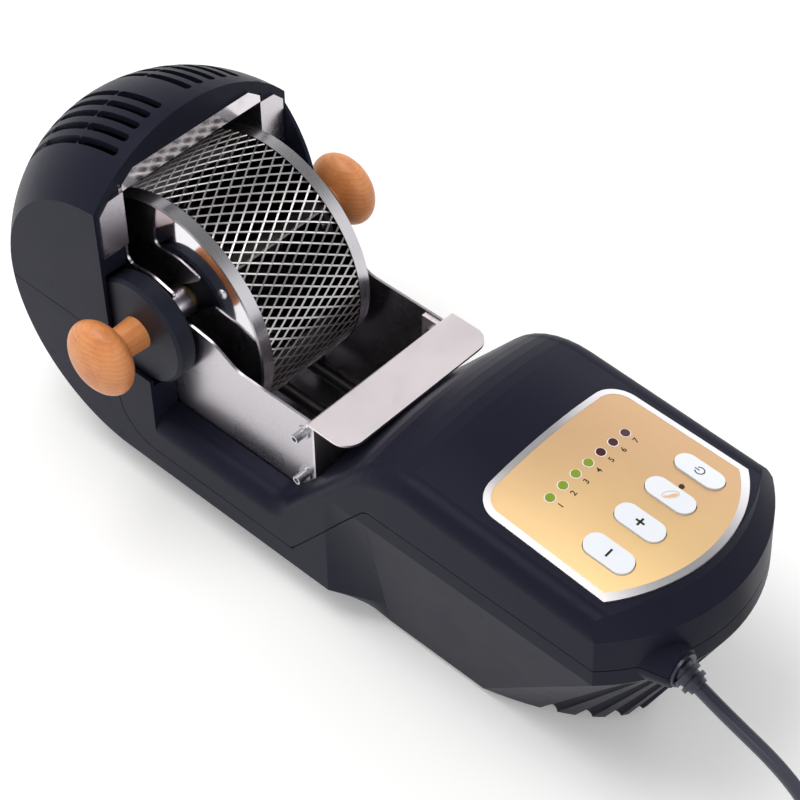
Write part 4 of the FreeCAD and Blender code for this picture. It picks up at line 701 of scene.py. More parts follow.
@dataclass
class Paintbox:
    """Every finish of the roaster by the record's slot name."""

    groups: Groups
    drum_axis: Point
    front_corner: Point
    made: dict[str, bpy.types.Material] = field(default_factory=dict)

    def finishes(self) -> dict[str, Finish]:
        """The finishes by slot.

        Returns:
            One finish for each slot, and for each of the scene's own inks and steels.
        """
        navy = (0.74, 0.79, 1.0)
        axis = self.drum_axis
        return {
            "black_plastic": Moulded("Black shell", (0.0082, 0.0086, 0.0180), 0.40, 0.05, 1500.0, 1.2e-5,
                                     wear=0.10, specular=0.095, sheen_of_gloss=navy),
            "disc_plastic": Moulded("Disc plastic", (0.0085, 0.0095, 0.0170), 0.48, 0.04, 2200.0, 1.2e-5,
                                    wear=0.08, specular=0.25, sheen_of_gloss=navy),
            "button_white": Moulded("Button caps", (0.72, 0.76, 0.87), 0.32, 0.03, 1200.0, 3e-6, wear=0.05,
                                    specular=0.4, coat=0.2),
            "rubber": Moulded("Foot rubber", (0.012, 0.012, 0.013), 0.75, 0.06, 900.0, 4e-5, wear=0.2,
                              specular=0.2),
            "cord": Moulded("Cord jacket", (0.013, 0.013, 0.020), 0.35, 0.04, 1800.0, 5e-6, wear=0.1,
                            specular=0.75, sheen_of_gloss=navy),
            "nylon": Moulded("Natural nylon", (0.72, 0.69, 0.60), 0.4, 0.05, 1200.0, 8e-6, wear=0.05),
            "board_green": Moulded("Solder mask", (0.02, 0.16, 0.06), 0.28, 0.05, 700.0, 1e-5, wear=0.05,
                                   coat=0.4),
            "component": Moulded("Component case", (0.03, 0.03, 0.034), 0.4, 0.05, 900.0, 1e-5),
            "ceramic": Moulded("Ceramic", (0.75, 0.72, 0.66), 0.7, 0.05, 600.0, 3e-5),
            "lamp_ring": Moulded("Printed white", (0.85, 0.83, 0.80), 0.4, 0.03, 1500.0, 2e-6, wear=0.03),
            "ink": Moulded("Printed black", (0.020, 0.016, 0.015), 0.45, 0.05, 1500.0, 2e-6, wear=0.02,
                           specular=0.3),
            "ink_bean": Moulded("Printed bean", (0.70, 0.42, 0.22), 0.45, 0.05, 1500.0, 2e-6, wear=0.02),
            "polished_steel": TurnedRing("Polished steel", (0.78, 0.76, 0.79), axis, polished_to=55.4 * MM),
            # The mesh's and the hood liner's faces that turn in towards the drum are painted dark as shade.
            "mesh_steel": BrownedSteel("Mesh steel", axis),
            "liner_steel": BrownedSteel("Liner steel", axis, (0.74, 0.71, 0.74), (0.27, 0.26, 0.28), 0.13,
                                        brown_to=-0.85, bright_from=-0.45),
            "brushed_steel": Metal("Brushed steel", (0.63, 0.60, 0.635), 0.26, Axis.Y, 0.03, 5200.0,
                                   contrast=0.04, smudge=0.015, depth=6e-7),
            "tray_steel": Metal("Tray steel", (0.90, 0.83, 0.855), 0.42, Axis.X, 0.02, 6000.0,
                                contrast=0.06, smudge=0.04, depth=1.5e-6),
            "vane_steel": Metal("Vane steel", (0.34, 0.32, 0.31), 0.26, Axis.X, 0.05, 3000.0, contrast=0.2),
            "dark_steel": Metal("Heated steel", (0.20, 0.19, 0.19), 0.33, Axis.X, 0.05, 3000.0, contrast=0.2,
                                smudge=0.1),
            "panel_trim": Metal("Panel trim", (0.60, 0.585, 0.60), 0.34, Axis.Y, 0.1, 4000.0, contrast=0.03,
                                smudge=0.02, depth=5e-7),
            "brass": Metal("Turned brass", (0.72, 0.52, 0.24), 0.24, Axis.X, 0.3, 3000.0),
            "zinc": Metal("Zinc plate", (0.62, 0.63, 0.66), 0.3, Axis.X, 0.4, 2500.0),
            "motor_steel": Metal("Motor can", (0.5, 0.5, 0.51), 0.3, Axis.X, 0.2, 2600.0),
            "wood": Timber("Oiled beech"),
            "gold_panel": Foil("Gold foil", self.front_corner),
            "lamp_green": Lens("Green lens", (0.20, 0.275, 0.024), glow=0.03),
            "lamp_red": Lens("Red lens", (0.055, 0.009, 0.011))}

    def mix(self) -> None:
        """Builds every finish once."""
        self.made = {slot: finish.build(self.groups) for slot, finish in self.finishes().items()}

    def __getitem__(self, slot: str) -> bpy.types.Material:
        """The material of a slot."""
        return self.made[slot]


# --- Mesh tools ---

SMOOTH_DEG = 35.0
WELD_MADE = 1e-7
WELD_CAD = 1e-6


def into_scene(name: str, data: bpy.types.ID) -> bpy.types.Object:
    """Puts some data into the scene.

    Args:
        name: the new object's name.
        data: a mesh, curve, lamp or camera.

    Returns:
        The object that holds it.
    """
    holder = bpy.data.objects.new(name, data)
    bpy.context.scene.collection.objects.link(holder)
    return holder


def mesh_object(name: str, mesh: bpy.types.Mesh, material: bpy.types.Material,
                smooth_deg: float | None = SMOOTH_DEG) -> bpy.types.Object:
    """Puts a mesh into the scene as a piece.

    Args:
        name: the piece's name.
        mesh: its mesh, in the frame's axes.
        material: its finish.
        smooth_deg: edges sharper than this stay sharp; None leaves the faces flat.

    Returns:
        The new object.
    """
    mesh.name = name
    mesh.materials.clear()
    mesh.materials.append(material)
    if smooth_deg is not None:
        mesh.shade_smooth()
        mesh.set_sharp_from_angle(angle=math.radians(smooth_deg))
    return into_scene(name, mesh)


def from_bmesh(name: str, made: bmesh.types.BMesh, material: bpy.types.Material,
               smooth_deg: float | None = SMOOTH_DEG) -> bpy.types.Object:
    """Turns a finished bmesh into a piece.

    Args:
        name: the piece's name.
        made: the bmesh, which is freed.
        material: its finish.
        smooth_deg: as in mesh_object.

    Returns:
        The new object.
    """
    bmesh.ops.remove_doubles(made, verts=made.verts, dist=WELD_MADE)
    bmesh.ops.recalc_face_normals(made, faces=made.faces)
    mesh = bpy.data.meshes.new(name)
    made.to_mesh(mesh)
    made.free()
    return mesh_object(name, mesh, material, smooth_deg)


def skin(made: bmesh.types.BMesh, loops: Sequence[Sequence[bmesh.types.BMVert]], closed: bool) -> None:
    """Joins loops of vertices, each to the next.

    Args:
        made: the bmesh that holds them.
        loops: the loops, all with as many vertices.
        closed: whether the last loop meets the first one; otherwise both ends get a cap.
    """
    pairs = list(zip(loops, loops[1:])) + ([(loops[-1], loops[0])] if closed else [])
    count = len(loops[0])
    for here, then in pairs:
        for k in range(count):
            made.faces.new((here[k], here[(k + 1) % count], then[(k + 1) % count], then[k]))
    if not closed:
        made.faces.new(loops[0])
        made.faces.new(loops[-1])


def evaluated_mesh(piece: bpy.types.Object) -> bpy.types.Mesh:
    """The mesh of an object with its modifiers, or of a curve or text.

    Args:
        piece: the object.

    Returns:
        A new mesh in the object's own axes.
    """
    graph = bpy.context.evaluated_depsgraph_get()
    graph.update()
    return bpy.data.meshes.new_from_object(piece.evaluated_get(graph))


class Surface:
    """A CAD node's surface that prints and small parts are laid on."""

    def __init__(self, node: bpy.types.Object) -> None:
        """Indexes the node's triangles.

        Args:
            node: the CAD node's object.
        """
        mesh = node.data
        corners = [vertex.co for vertex in mesh.vertices]
        self.tree = BVHTree.FromPolygons(corners, [face.vertices for face in mesh.polygons])

    def seat(self, x: float, y: float) -> tuple[Vector, Vector]:
        """Where a vertical line meets the surface from above.

        Args:
            x: the line's place.
            y: the line's place.

        Returns:
            The point and the surface's normal there.
        """
        point, normal, _, _ = self.tree.ray_cast(Vector((x, y, 1.0)), Vector((0, 0, -1)))
        if point is None:
            raise ValueError(f"nothing lies under ({x:.4f}, {y:.4f})")
        return point, normal if normal.z > 0 else -normal

    def frame_at(self, x: float, y: float) -> Matrix:
        """Axes on the surface, with X level and Z out of it.

        Args:
            x: the place.
            y: the place.

        Returns:
            A matrix that lays a flat drawing there.
        """
        point, normal = self.seat(x, y)
        across = Vector((1, 0, 0)) - normal * normal.x
        across.normalize()
        ahead = normal.cross(across)
        return Matrix.Translation(point) @ Matrix((across, ahead, normal)).transposed().to_4x4()


class Tree(Graph):
    """A Geometry Nodes tree that is being wired."""

    smooth_deg = 30.0

    def __init__(self, name: str, inputs: Sequence[tuple[str, str, object]]) -> None:
        """Starts a tree with named inputs and one geometry output.

        Args:
            name: the tree's name.
            inputs: name, socket type and value of each input.
        """
        super().__init__(bpy.data.node_groups.new(name, "GeometryNodeTree"))
        face = self.tree.interface
        face.new_socket("Geometry", in_out="INPUT", socket_type="NodeSocketGeometry")
        self.values = {}
        for label, kind, value in inputs:
            socket = face.new_socket(label, in_out="INPUT", socket_type=kind)
            self.values[socket.identifier] = value
        face.new_socket("Geometry", in_out="OUTPUT", socket_type="NodeSocketGeometry")
        self.entry = self.tree.nodes.new("NodeGroupInput")
        self.exit = self.tree.nodes.new("NodeGroupOutput")

    def given(self, label: str) -> Socket:
        """An input's socket inside the tree."""
        return self.entry.outputs[label]

    def join(self, *parts: Socket) -> bpy.types.Node:
        """Several geometries as one.

        Args:
            parts: the geometries.

        Returns:
            The node that joins them.
        """
        joined = self.add("GeometryNodeJoinGeometry")
        for part in parts:
            self.tree.links.new(part, joined.inputs[0])
        return joined

    def at_places(self, shape: object) -> Socket:
        """Copies of a shape at the places that the tree is given."""
        places = self.add("GeometryNodeMeshToPoints", {"Mesh": self.given("Geometry")})
        return self.add("GeometryNodeInstanceOnPoints", {"Points": places, "Instance": shape}).outputs[0]

    def finish(self, geometry: Socket, material: bpy.types.Material) -> None:
        """Realizes the instances and gives the result its material.

        Args:
            geometry: the made geometry.
            material: its finish.
        """
        real = self.add("GeometryNodeRealizeInstances", {"Geometry": geometry})
        painted = self.add("GeometryNodeSetMaterial", {"Geometry": real, "Material": material})
        self.feed(self.exit.inputs["Geometry"], painted)

    def run(self, name: str, material: bpy.types.Material, points: Sequence[Point] = ()) -> bpy.types.Object:
        """Evaluates the tree into a plain mesh piece.

        Args:
            name: the piece's name.
            material: its finish.
            points: places that the tree is given as its geometry.

        Returns:
            The piece, with no modifier left on it.
        """
        start = bpy.data.meshes.new(name + "_maker")
        start.from_pydata(points, [], [])
        holder = into_scene(name + "_maker", start)
        modifier = holder.modifiers.new("Maker", "NODES")
        modifier.node_group = self.tree
        for identifier, value in self.values.items():
            modifier[identifier] = value
        mesh = evaluated_mesh(holder)
        bpy.data.objects.remove(holder)
        return mesh_object(name, mesh, material, self.smooth_deg)


# --- Studio ---


@dataclass(frozen=True)
class Softbox:
    """One soft square lamp that points at the object."""

    name: str
    place_at: Point
    size: float
    watts: float
    colour: Colour

    def hang(self, target: Point) -> None:
        """Puts the lamp into the scene.

        Args:
            target: what it points at.
        """
        data = bpy.data.lights.new(self.name, "AREA")
        data.shape = "SQUARE"
        data.size = self.size
        data.energy = self.watts
        data.color = self.colour
        lamp = into_scene(self.name, data)
        lamp.location = self.place_at
        lamp.rotation_euler = (Vector(target) - Vector(self.place_at)).to_track_quat("-Z", "Y").to_euler()


@dataclass
class Studio:
    """Camera, lamps, pale floor and a white backdrop with a dimmer ceiling."""

    camera_place: Point = (-0.4771, -0.4650, 0.7665)
    heading_deg: float = 46.91
    dip_deg: float = 46.09
    roll_deg: float = -0.505
    lens_mm: float = 98.03
    sensor_mm: float = 36.0
    nearest: float = 0.05
    farthest: float = 20.0
    floor_size: float = 6.0
    floor_glow: float = 0.20
    world_strength: float = 0.62
    ceiling_from: float = 0.45
    ceiling_to: float = 0.85
    ceiling_strength: float = 0.15
    horizon_share: float = 0.45
    middle: Point = (0.0, 0.0, 0.08)
    softboxes: tuple[Softbox, ...] = (
        Softbox("Key", (-0.35, 0.55, 1.7), 1.1, 17.0, (1.0, 0.99, 0.97)),
        Softbox("Fill_right", (1.5, 0.3, 0.9), 0.9, 3.5, (0.97, 0.98, 1.0)),
        Softbox("Fill_front", (-0.9, -1.5, 0.7), 0.8, 2.5, (0.97, 0.98, 1.0)))

    def camera(self) -> None:
        """Makes the camera and hands it to the scene."""
        data = bpy.data.cameras.new("Camera")
        data.lens = self.lens_mm
        data.sensor_width = self.sensor_mm
        data.clip_start, data.clip_end = self.nearest, self.farthest
        camera = into_scene("Camera", data)
        camera.matrix_world = (Matrix.Translation(self.camera_place)
                               @ Matrix.Rotation(-math.radians(self.heading_deg), 4, "Z")
                               @ Matrix.Rotation(math.radians(90.0 - self.dip_deg), 4, "X")
                               @ Matrix.Rotation(math.radians(self.roll_deg), 4, "Z"))
        bpy.context.scene.camera = camera

    def lamps(self) -> None:
        """Hangs the key above, and weaker fills on both sides."""
        for softbox in self.softboxes:
            softbox.hang(self.middle)

    @staticmethod
    def seen_directly(graph: Graph) -> Socket:
        """One for what the camera, a gloss or a glass shows, nought for what only lights.

        Args:
            graph: the material's or the world's graph.

        Returns:
            The mask.
        """
        path = graph.add("ShaderNodeLightPath")
        mirrored = graph.math("MAXIMUM", path.outputs["Is Glossy Ray"], path.outputs["Is Transmission Ray"])
        return graph.math("MAXIMUM", path.outputs["Is Camera Ray"], mirrored)

    def world(self) -> None:
        """A white backdrop for the camera, a softer sky for the object."""
        world = bpy.data.worlds.new("Studio")
        world.use_nodes = True
        graph = Graph(world.node_tree)
        shader = world.node_tree.nodes["Background"]
        seen = self.seen_directly(graph)
        direction = graph.add("ShaderNodeTexCoord").outputs["Generated"]
        height = graph.part(direction, Axis.Z)
        sky = graph.ramp(height, -0.3, 0.9, self.horizon_share * self.world_strength, self.world_strength)
        backdrop = graph.ramp(height, self.ceiling_from, self.ceiling_to, 1.0, self.ceiling_strength)
        graph.feed(shader.inputs["Color"], (1.0, 1.0, 1.0, 1.0))
        graph.feed(shader.inputs["Strength"], graph.between(seen, sky, backdrop))
        bpy.context.scene.world = world

    def floor(self) -> None:
        """A pale bench top that keeps the shadow."""
        material, graph, shader = fresh_material("Pale bench")
        mottle = graph.noise(place(graph), 3.0, 2.0)
        graph.feed(shader.inputs["Base Color"], graph.blend(
            mottle.outputs[0], (0.90, 0.90, 0.90), (0.92, 0.92, 0.92)))
        shader.inputs["Roughness"].default_value = 0.9
        shader.inputs["Specular IOR Level"].default_value = 0.0
        shader.inputs["Emission Color"].default_value = (1.0, 1.0, 1.0, 1.0)
        graph.feed(shader.inputs["Emission Strength"], graph.math(
            "MULTIPLY", self.seen_directly(graph), self.floor_glow))
        made = bmesh.new()
        half = self.floor_size / 2
        corners = ((-half, -half), (half, -half), (half, half), (-half, half))
        made.faces.new([made.verts.new((x, y, 0.0)) for x, y in corners])
        from_bmesh("bench_top", made, material, None)

    def build(self) -> None:
        """Sets up everything that isn't part of the roaster."""
        view = bpy.context.scene.view_settings
        view.view_transform = "Standard"
        self.camera()
        self.world()
        self.lamps()
        self.floor()


# --- Sub-assemblies ---


@dataclass
class SubAssembly:
    """A group of the frame's nodes that is dressed, and added to, as one."""

    paints: Paintbox
    nodes: dict[str, bpy.types.Object]
    axis: Vector

    def finishes(self) -> dict[str, str]:
        """The finish of each of its nodes."""
        return {}

    def dress(self) -> None:
        """Gives its nodes their finishes."""
        for name, slot in self.finishes().items():
            node = self.nodes[name]
            for number in range(len(node.material_slots)):
                node.material_slots[number].material = self.paints[slot]

    def keep(self, piece: bpy.types.Object, body: str, slot: str) -> None:
        """Rides a made piece on its body.

        Args:
            piece: the made piece.
            body: the body that carries it.
            slot: the record's slot of its finish; not used.
        """
        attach(piece, body)
        LOG.info("%s rides on %s", piece.name, body)

    def build(self) -> None:
        """Makes its own pieces, where it has any."""


def solid_middles(node: bpy.types.Object) -> list[Vector]:
    """The middles of a node's separate solids.

    Args:
        node: the CAD node.

    Returns:
        One point for each solid.
    """
    copy = bmesh.new()
    copy.from_mesh(node.data)
    bmesh.ops.remove_doubles(copy, verts=copy.verts, dist=WELD_CAD)
    copy.verts.ensure_lookup_table()
    waiting, places = set(range(len(copy.verts))), []
    while waiting:
        solid, edge = [], [min(waiting)]
        waiting.discard(edge[0])
        while edge:
            vertex = copy.verts[edge.pop()]
            solid.append(vertex.co.copy())
            near = {e.other_vert(vertex).index for e in vertex.link_edges} & waiting
            waiting -= near
            edge.extend(near)
        places.append(sum(solid, Vector()) / len(solid))
    copy.free()
    return places


@dataclass
class Housing(SubAssembly):
    """The moulded shells, their screws and the feet."""

    drive_arm: float = 1.7 * MM
    drive_width: float = 0.7 * MM
    drive_depth: float = 0.12 * MM

    def finishes(self) -> dict[str, str]:
        """The finish of each of its nodes."""
        return {"upper_shell": "black_plastic", "lower_shell": "black_plastic", "rubber_feet": "rubber",
                "case_screws": "zinc"}

    def drive_tree(self) -> Tree:
        """A cross-shaped shadow for each screw's drive.

        Returns:
            The finished tree.
        """
        tree = Tree("Screw drives", [("Arm", FLOAT, self.drive_arm), ("Width", FLOAT, self.drive_width),
                                     ("Depth", FLOAT, self.drive_depth)])
        long = tree.math("MULTIPLY", tree.given("Arm"), 2.0)
        wide, deep = tree.given("Width"), tree.given("Depth")
        sizes = (tree.combine(X=long, Y=wide, Z=deep), tree.combine(X=wide, Y=long, Z=deep))
        bars = [tree.add("GeometryNodeMeshCube", {"Size": size}).outputs["Mesh"] for size in sizes]
        tree.finish(tree.at_places(tree.join(*bars)), self.paints["component"])
        return tree

    def build(self) -> None:
        """Marks the drive of each case screw on its head, under the base, as a dark cross of painted shade.
        """
        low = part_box("case_screws")[0].z
        seats = [(p.x, p.y, low) for p in solid_middles(self.nodes["case_screws"])]
        # Painted shade: a dark cross where each drive's recess is in shadow.
        drives = self.drive_tree().run("case_screw_drive_shadows", self.paints["component"], seats)
        self.keep(drives, "base", "component")


@dataclass
class Chamber(SubAssembly):
    """The steel box under and behind the drum, with what heats and guards it."""

    def finishes(self) -> dict[str, str]:
        """The finish of each of its nodes."""
        return {"chamber_plate_left": "brushed_steel", "chamber_plate_right": "brushed_steel",
                "chamber_front_plate": "tray_steel", "chamber_floor": "brushed_steel",
                "hood_liner": "liner_steel", "chamber_rests": "zinc", "plate_studs": "zinc",
                "heating_element": "dark_steel", "element_supports": "zinc", "element_terminals": "ceramic",
                "thermal_cutout": "component", "temperature_probe": "polished_steel"}


@dataclass
class Drive(SubAssembly):
    """The gear motor and its train to the drum's gear."""

    def finishes(self) -> dict[str, str]:
        """The finish of each of its nodes."""
        return {"drum_motor": "motor_steel", "motor_cradle": "black_plastic", "motor_shaft": "motor_steel",
                "motor_pinion": "brass", "idler_gear": "nylon", "idler_stud": "zinc", "drum_gear": "brass"}


@dataclass
class Electronics(SubAssembly):
    """The two boards and what stands on them."""

    def finishes(self) -> dict[str, str]:
        """The finish of each of its nodes."""
        return {"control_board": "board_green", "power_board": "board_green",
                "power_board_pillars": "black_plastic", "power_components": "component",
                "tact_switches": "component", "board_screws": "zinc"}


@dataclass
class Supply(SubAssembly):
    """The mains lead: relief, free cord, put-away coil and plug."""

    diameter: float = 6.2 * MM
    groove_depth: float = 0.42 * MM
    groove_width: float = 0.22
    length: float = 1.5
    coil_middle: tuple[float, float] = (26.0, -404.0)
    turn_radii: tuple[float, ...] = (45.2, 38.7, 32.2)
    low: float = -94.8
    high: float = -88.4
    steps_per_turn: int = 20
    turns: float = 5.5
    turns_below: float = 2.5
    climb_turns: float = 0.4
    stride_from: float = 0.75
    section_sides: int = 28
    route: tuple[Point, ...] = (
        (-32.0, -293.5, -14.75), (-32.0, -304.3, -19.1), (-30.2, -315.3, -26.0),
        (-27.5, -326.5, -34.4), (-24.6, -336.5, -45.0), (-22.6, -345.6, -56.6),
        (-21.4, -355.2, -68.8), (-20.6, -366.4, -80.0), (-20.1, -378.4, -88.9),
        (-19.7, -391.0, -93.6))
    tail: tuple[Point, ...] = ((71.5, -393.0, -87.2), (71.5, -383.0, -86.4), (71.5, -374.0, -86.0))
    line_steps: int = 6
    jacket_smooth_deg: float = 50.0

    def finishes(self) -> dict[str, str]:
        """The finish of each of its nodes."""
        return {"cord_relief": "cord", "plug_body": "cord", "plug_pins": "brass", "power_cord": "cord",
                "cord_coil": "cord", "cord_end": "cord"}

    def row_radius(self, turn: float) -> float:
        """The coil's radius after a number of turns: out to in below, in to out above.

        Args:
            turn: turns from the start.

        Returns:
            The radius in millimetres.
        """
        order = (*self.turn_radii, *reversed(self.turn_radii))
        whole, last = int(turn), len(order) - 1
        share = min(1.0, max(0.0, (turn - whole - self.stride_from) / (1.0 - self.stride_from)))
        here, then = order[min(whole, last)], order[min(whole + 1, last)]
        return here + (then - here) * share

    def coil_points(self) -> list[Point]:
        """Control points of the coil's turns.

        Returns:
            Points in millimetres about the drum's axis.
        """
        points = []
        corner = 1 / math.cos(math.pi / self.steps_per_turn) ** 0.5
        for i in range(int(self.turns * self.steps_per_turn) + 1):
            turn = i / self.steps_per_turn
            angle = math.pi + 2 * math.pi * turn
            radius = self.row_radius(turn) * corner
            climb = min(1.0, max(0.0, (turn - self.turns_below) / self.climb_turns))
            points.append((self.coil_middle[0] + radius * math.cos(angle),
                           self.coil_middle[1] + radius * math.sin(angle),
                           self.low + (self.high - self.low) * climb))
        return points

    def line(self) -> list[Vector]:
        """The whole lead's control points in the frame's axes, in metres."""
        return [self.axis + Vector(p) * MM for p in (*self.route, *self.coil_points(), *self.tail)]

    def centre_line(self, name: str) -> bpy.types.Object:
        """A NURBS curve along the lead's control points.

        Args:
            name: the curve's name.

        Returns:
            The curve's object, with no thickness.
        """
        points = self.line()
        curve = bpy.data.curves.new(name, "CURVE")
        curve.dimensions = "3D"
        curve.resolution_u = self.line_steps
        spline = curve.splines.new("NURBS")
        spline.points.add(len(points) - 1)
        for held, point in zip(spline.points, points):
            held.co = (*point, 1.0)
        spline.order_u = 3
        spline.use_endpoint_u = True
        return into_scene(name, curve)

    def section(self) -> bpy.types.Object:
        """The jacket's outline: round, with a shallow groove between the cores on both faces.

        Returns:
            A closed curve for the bevel.
        """
        curve = bpy.data.curves.new("lead_section", "CURVE")
        curve.dimensions = "2D"
        spline = curve.splines.new("POLY")
        spline.points.add(self.section_sides - 1)
        for i, held in enumerate(spline.points):
            angle = 2 * math.pi * i / self.section_sides
            dip = self.groove_depth * math.exp(-(math.cos(angle) / self.groove_width) ** 2)
            radius = self.diameter / 2 - dip
            held.co = (radius * math.cos(angle), radius * math.sin(angle), 0.0, 1.0)
        spline.use_cyclic_u = True
        return into_scene("lead_section", curve)

    def build(self) -> None:
        line = self.centre_line("lead_line")
        path = [tuple(v.co) for v in evaluated_mesh(line).vertices]
        section = self.section()
        line.data.bevel_mode = "OBJECT"
        line.data.bevel_object = section
        line.data.use_fill_caps = True
        lead = mesh_object("power_lead", evaluated_mesh(line), self.paints["cord"], self.jacket_smooth_deg)
        bpy.data.objects.remove(line)
        bpy.data.objects.remove(section)
        self.keep(lead, "base", "cord")
        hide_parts("power_cord", "cord_coil", "cord_end")


# --- Drum ---


@dataclass
class Drum(SubAssembly):
    """The expanded-metal drum with its caps, vanes, shafts, discs and knobs."""

    radius: float = 56.75 * MM
    half_length: float = 29.1 * MM
    half_columns: int = 13
    diamonds_round: int = 65
    strand_width: float = 0.80 * MM
    strand_thickness: float = 0.5 * MM
    strand_tilt_deg: float = 26.0
    face_rows: int = 18
    face_sides: int = 128
    face_thickness: float = 0.6 * MM
    face_proud: float = 0.3 * MM
    face_drop: float = 2.2 * MM
    face_flat_to: float = 25.0 * MM
    face_hub: float = 6.2 * MM
    face_reach: float = 55.2 * MM
    rivet_radius: float = 2.4 * MM
    rivet_height: float = 0.9 * MM
    rivet_sides: int = 24

    def finishes(self) -> dict[str, str]:
        """The finish of each of its nodes."""
        paired = {"drum_cap": "polished_steel", "drum_shaft": "brushed_steel", "shaft_bush": "brass",
                  "heat_disc": "disc_plastic", "knob": "wood"}
        both = {f"{name}_{side.word}": slot for name, slot in paired.items() for side in Side}
        return {**both, "drum_mesh": "mesh_steel", "mixing_vanes": "vane_steel",
                "cap_rivets": "brushed_steel"}

    def strand(self, tree: Tree, rising: bool) -> Socket:
        """One slanting strand of a diamond, from the lattice point it starts at.

        Args:
            tree: the tree under construction.
            rising: whether it climbs round the drum on its way to the right.

        Returns:
            The strand's geometry.
        """
        run, rise = tree.given("Half Long"), tree.given("Half Short")
        squares = [tree.math("MULTIPLY", side, side) for side in (run, rise)]
        span = tree.math("SQRT", tree.math("ADD", *squares))
        size = tree.combine(X=tree.math("ADD", span, tree.given("Strand Width")),
                            Y=tree.given("Strand Width"), Z=tree.given("Strand Thickness"))
        bar = tree.add("GeometryNodeMeshCube", {"Size": size, "Vertices X": 4})
        tilted = tree.add("GeometryNodeTransform", {"Geometry": bar.outputs["Mesh"],
                                                    "Rotation": tree.combine(X=tree.given("Strand Tilt"))})
        slant, lift = tree.math("ARCTAN2", rise, run), rise
        if not rising:
            slant, lift = tree.math("MULTIPLY", slant, -1.0), tree.math("MULTIPLY", rise, -1.0)
        shift = tree.combine(X=tree.math("MULTIPLY", run, 0.5), Y=tree.math("MULTIPLY", lift, 0.5))
        placed = tree.add("GeometryNodeTransform", {"Geometry": tilted, "Rotation": tree.combine(Z=slant),
                                                    "Translation": shift})
        return placed.outputs["Geometry"]

    def lattice(self, tree: Tree, columns: int, first: float) -> Socket:
        """Lattice points of every other half column, all the way round.

        Args:
            tree: the tree under construction.
            columns: how many of these half columns there are.
            first: half columns from the drum's left end to the first one.

        Returns:
            The points' geometry, flat, with Y as the way round.
        """
        long, short = tree.given("Half Long"), tree.given("Half Short")
        rows = self.diamonds_round
        width = tree.math("MULTIPLY", long, float(2 * (columns - 1)))
        tall = tree.math("MULTIPLY", short, float(2 * (rows - 1)))
        grid = tree.add("GeometryNodeMeshGrid", {"Size X": width, "Size Y": tall, "Vertices X": columns,
                                                 "Vertices Y": rows})
        middle = (columns - 1) + first - self.half_columns / 2
        shift = tree.combine(X=tree.math("MULTIPLY", long, middle), Y=tree.math("MULTIPLY", short, first))
        placed = tree.add("GeometryNodeTransform", {"Geometry": grid.outputs["Mesh"], "Translation": shift})
        return placed.outputs["Geometry"]

    def mesh_tree(self) -> Tree:
        """The tree that makes the expanded metal and rolls it round the axis.

        Returns:
            The finished tree.
        """
        half_long = self.half_length / (self.half_columns / 2)
        half_short = math.pi * self.radius / self.diamonds_round
        tree = Tree("Expanded metal", [
            ("Half Long", FLOAT, half_long), ("Half Short", FLOAT, half_short),
            ("Strand Width", FLOAT, self.strand_width), ("Strand Thickness", FLOAT, self.strand_thickness),
            ("Strand Tilt", FLOAT, math.radians(self.strand_tilt_deg)), ("Radius", FLOAT, self.radius),
            ("Axis", VECTOR, tuple(self.axis))])
        cross = tree.join(self.strand(tree, True), self.strand(tree, False))
        even = (self.half_columns + 1) // 2
        points = tree.join(self.lattice(tree, even, 0.0), self.lattice(tree, self.half_columns - even, 1.0))
        net = tree.add("GeometryNodeInstanceOnPoints", {"Points": points, "Instance": cross})
        flat = tree.add("GeometryNodeRealizeInstances", {"Geometry": net})
        spot = tree.add("GeometryNodeInputPosition")
        limit = self.half_length
        across = tree.math("MINIMUM", tree.math("MAXIMUM", tree.part(spot, Axis.X), -limit), limit)
        angle = tree.math("DIVIDE", tree.part(spot, Axis.Y), tree.given("Radius"))
        reach = tree.math("ADD", tree.given("Radius"), tree.part(spot, Axis.Z))
        rolled = tree.combine(X=across, Y=tree.math("MULTIPLY", reach, tree.math("COSINE", angle)),
                              Z=tree.math("MULTIPLY", reach, tree.math("SINE", angle)))
        moved = tree.vector("ADD", rolled, tree.given("Axis"))
        bent = tree.add("GeometryNodeSetPosition", {"Geometry": flat, "Position": moved})
        tree.finish(bent.outputs["Geometry"], self.paints["mesh_steel"])
        return tree

    def face_at(self, radius: float) -> float:
        """How far the left cap's pressed face stands from the drum's middle at a radius.

        Args:
            radius: the radius, in metres.

        Returns:
            The distance, in metres.
        """
        rim = self.axis.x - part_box("drum_cap_left")[0].x
        share = max(0.0, radius - self.face_flat_to) / (self.face_reach - self.face_flat_to)
        return rim + self.face_proud - self.face_drop * share * share

    def pressed_face(self) -> None:
        """Lays the polished, slightly domed face over the left cap."""
        made = bmesh.new()
        step = (self.face_reach - self.face_hub) / (self.face_rows - 1)
        radii = [self.face_hub + step * i for i in range(self.face_rows)]
        front = [(self.face_at(radius), radius) for radius in radii]
        back = [(out - self.face_thickness, radius) for out, radius in reversed(front)]
        turns = [2 * math.pi * k / self.face_sides for k in range(self.face_sides)]
        loops = [[made.verts.new(self.axis + Vector((-out, radius * math.cos(turn), radius * math.sin(turn))))
                  for turn in turns] for out, radius in front + back]
        skin(made, loops, True)
        self.keep(from_bmesh("cap_face_left", made, self.paints["polished_steel"]), "drum", "polished_steel")

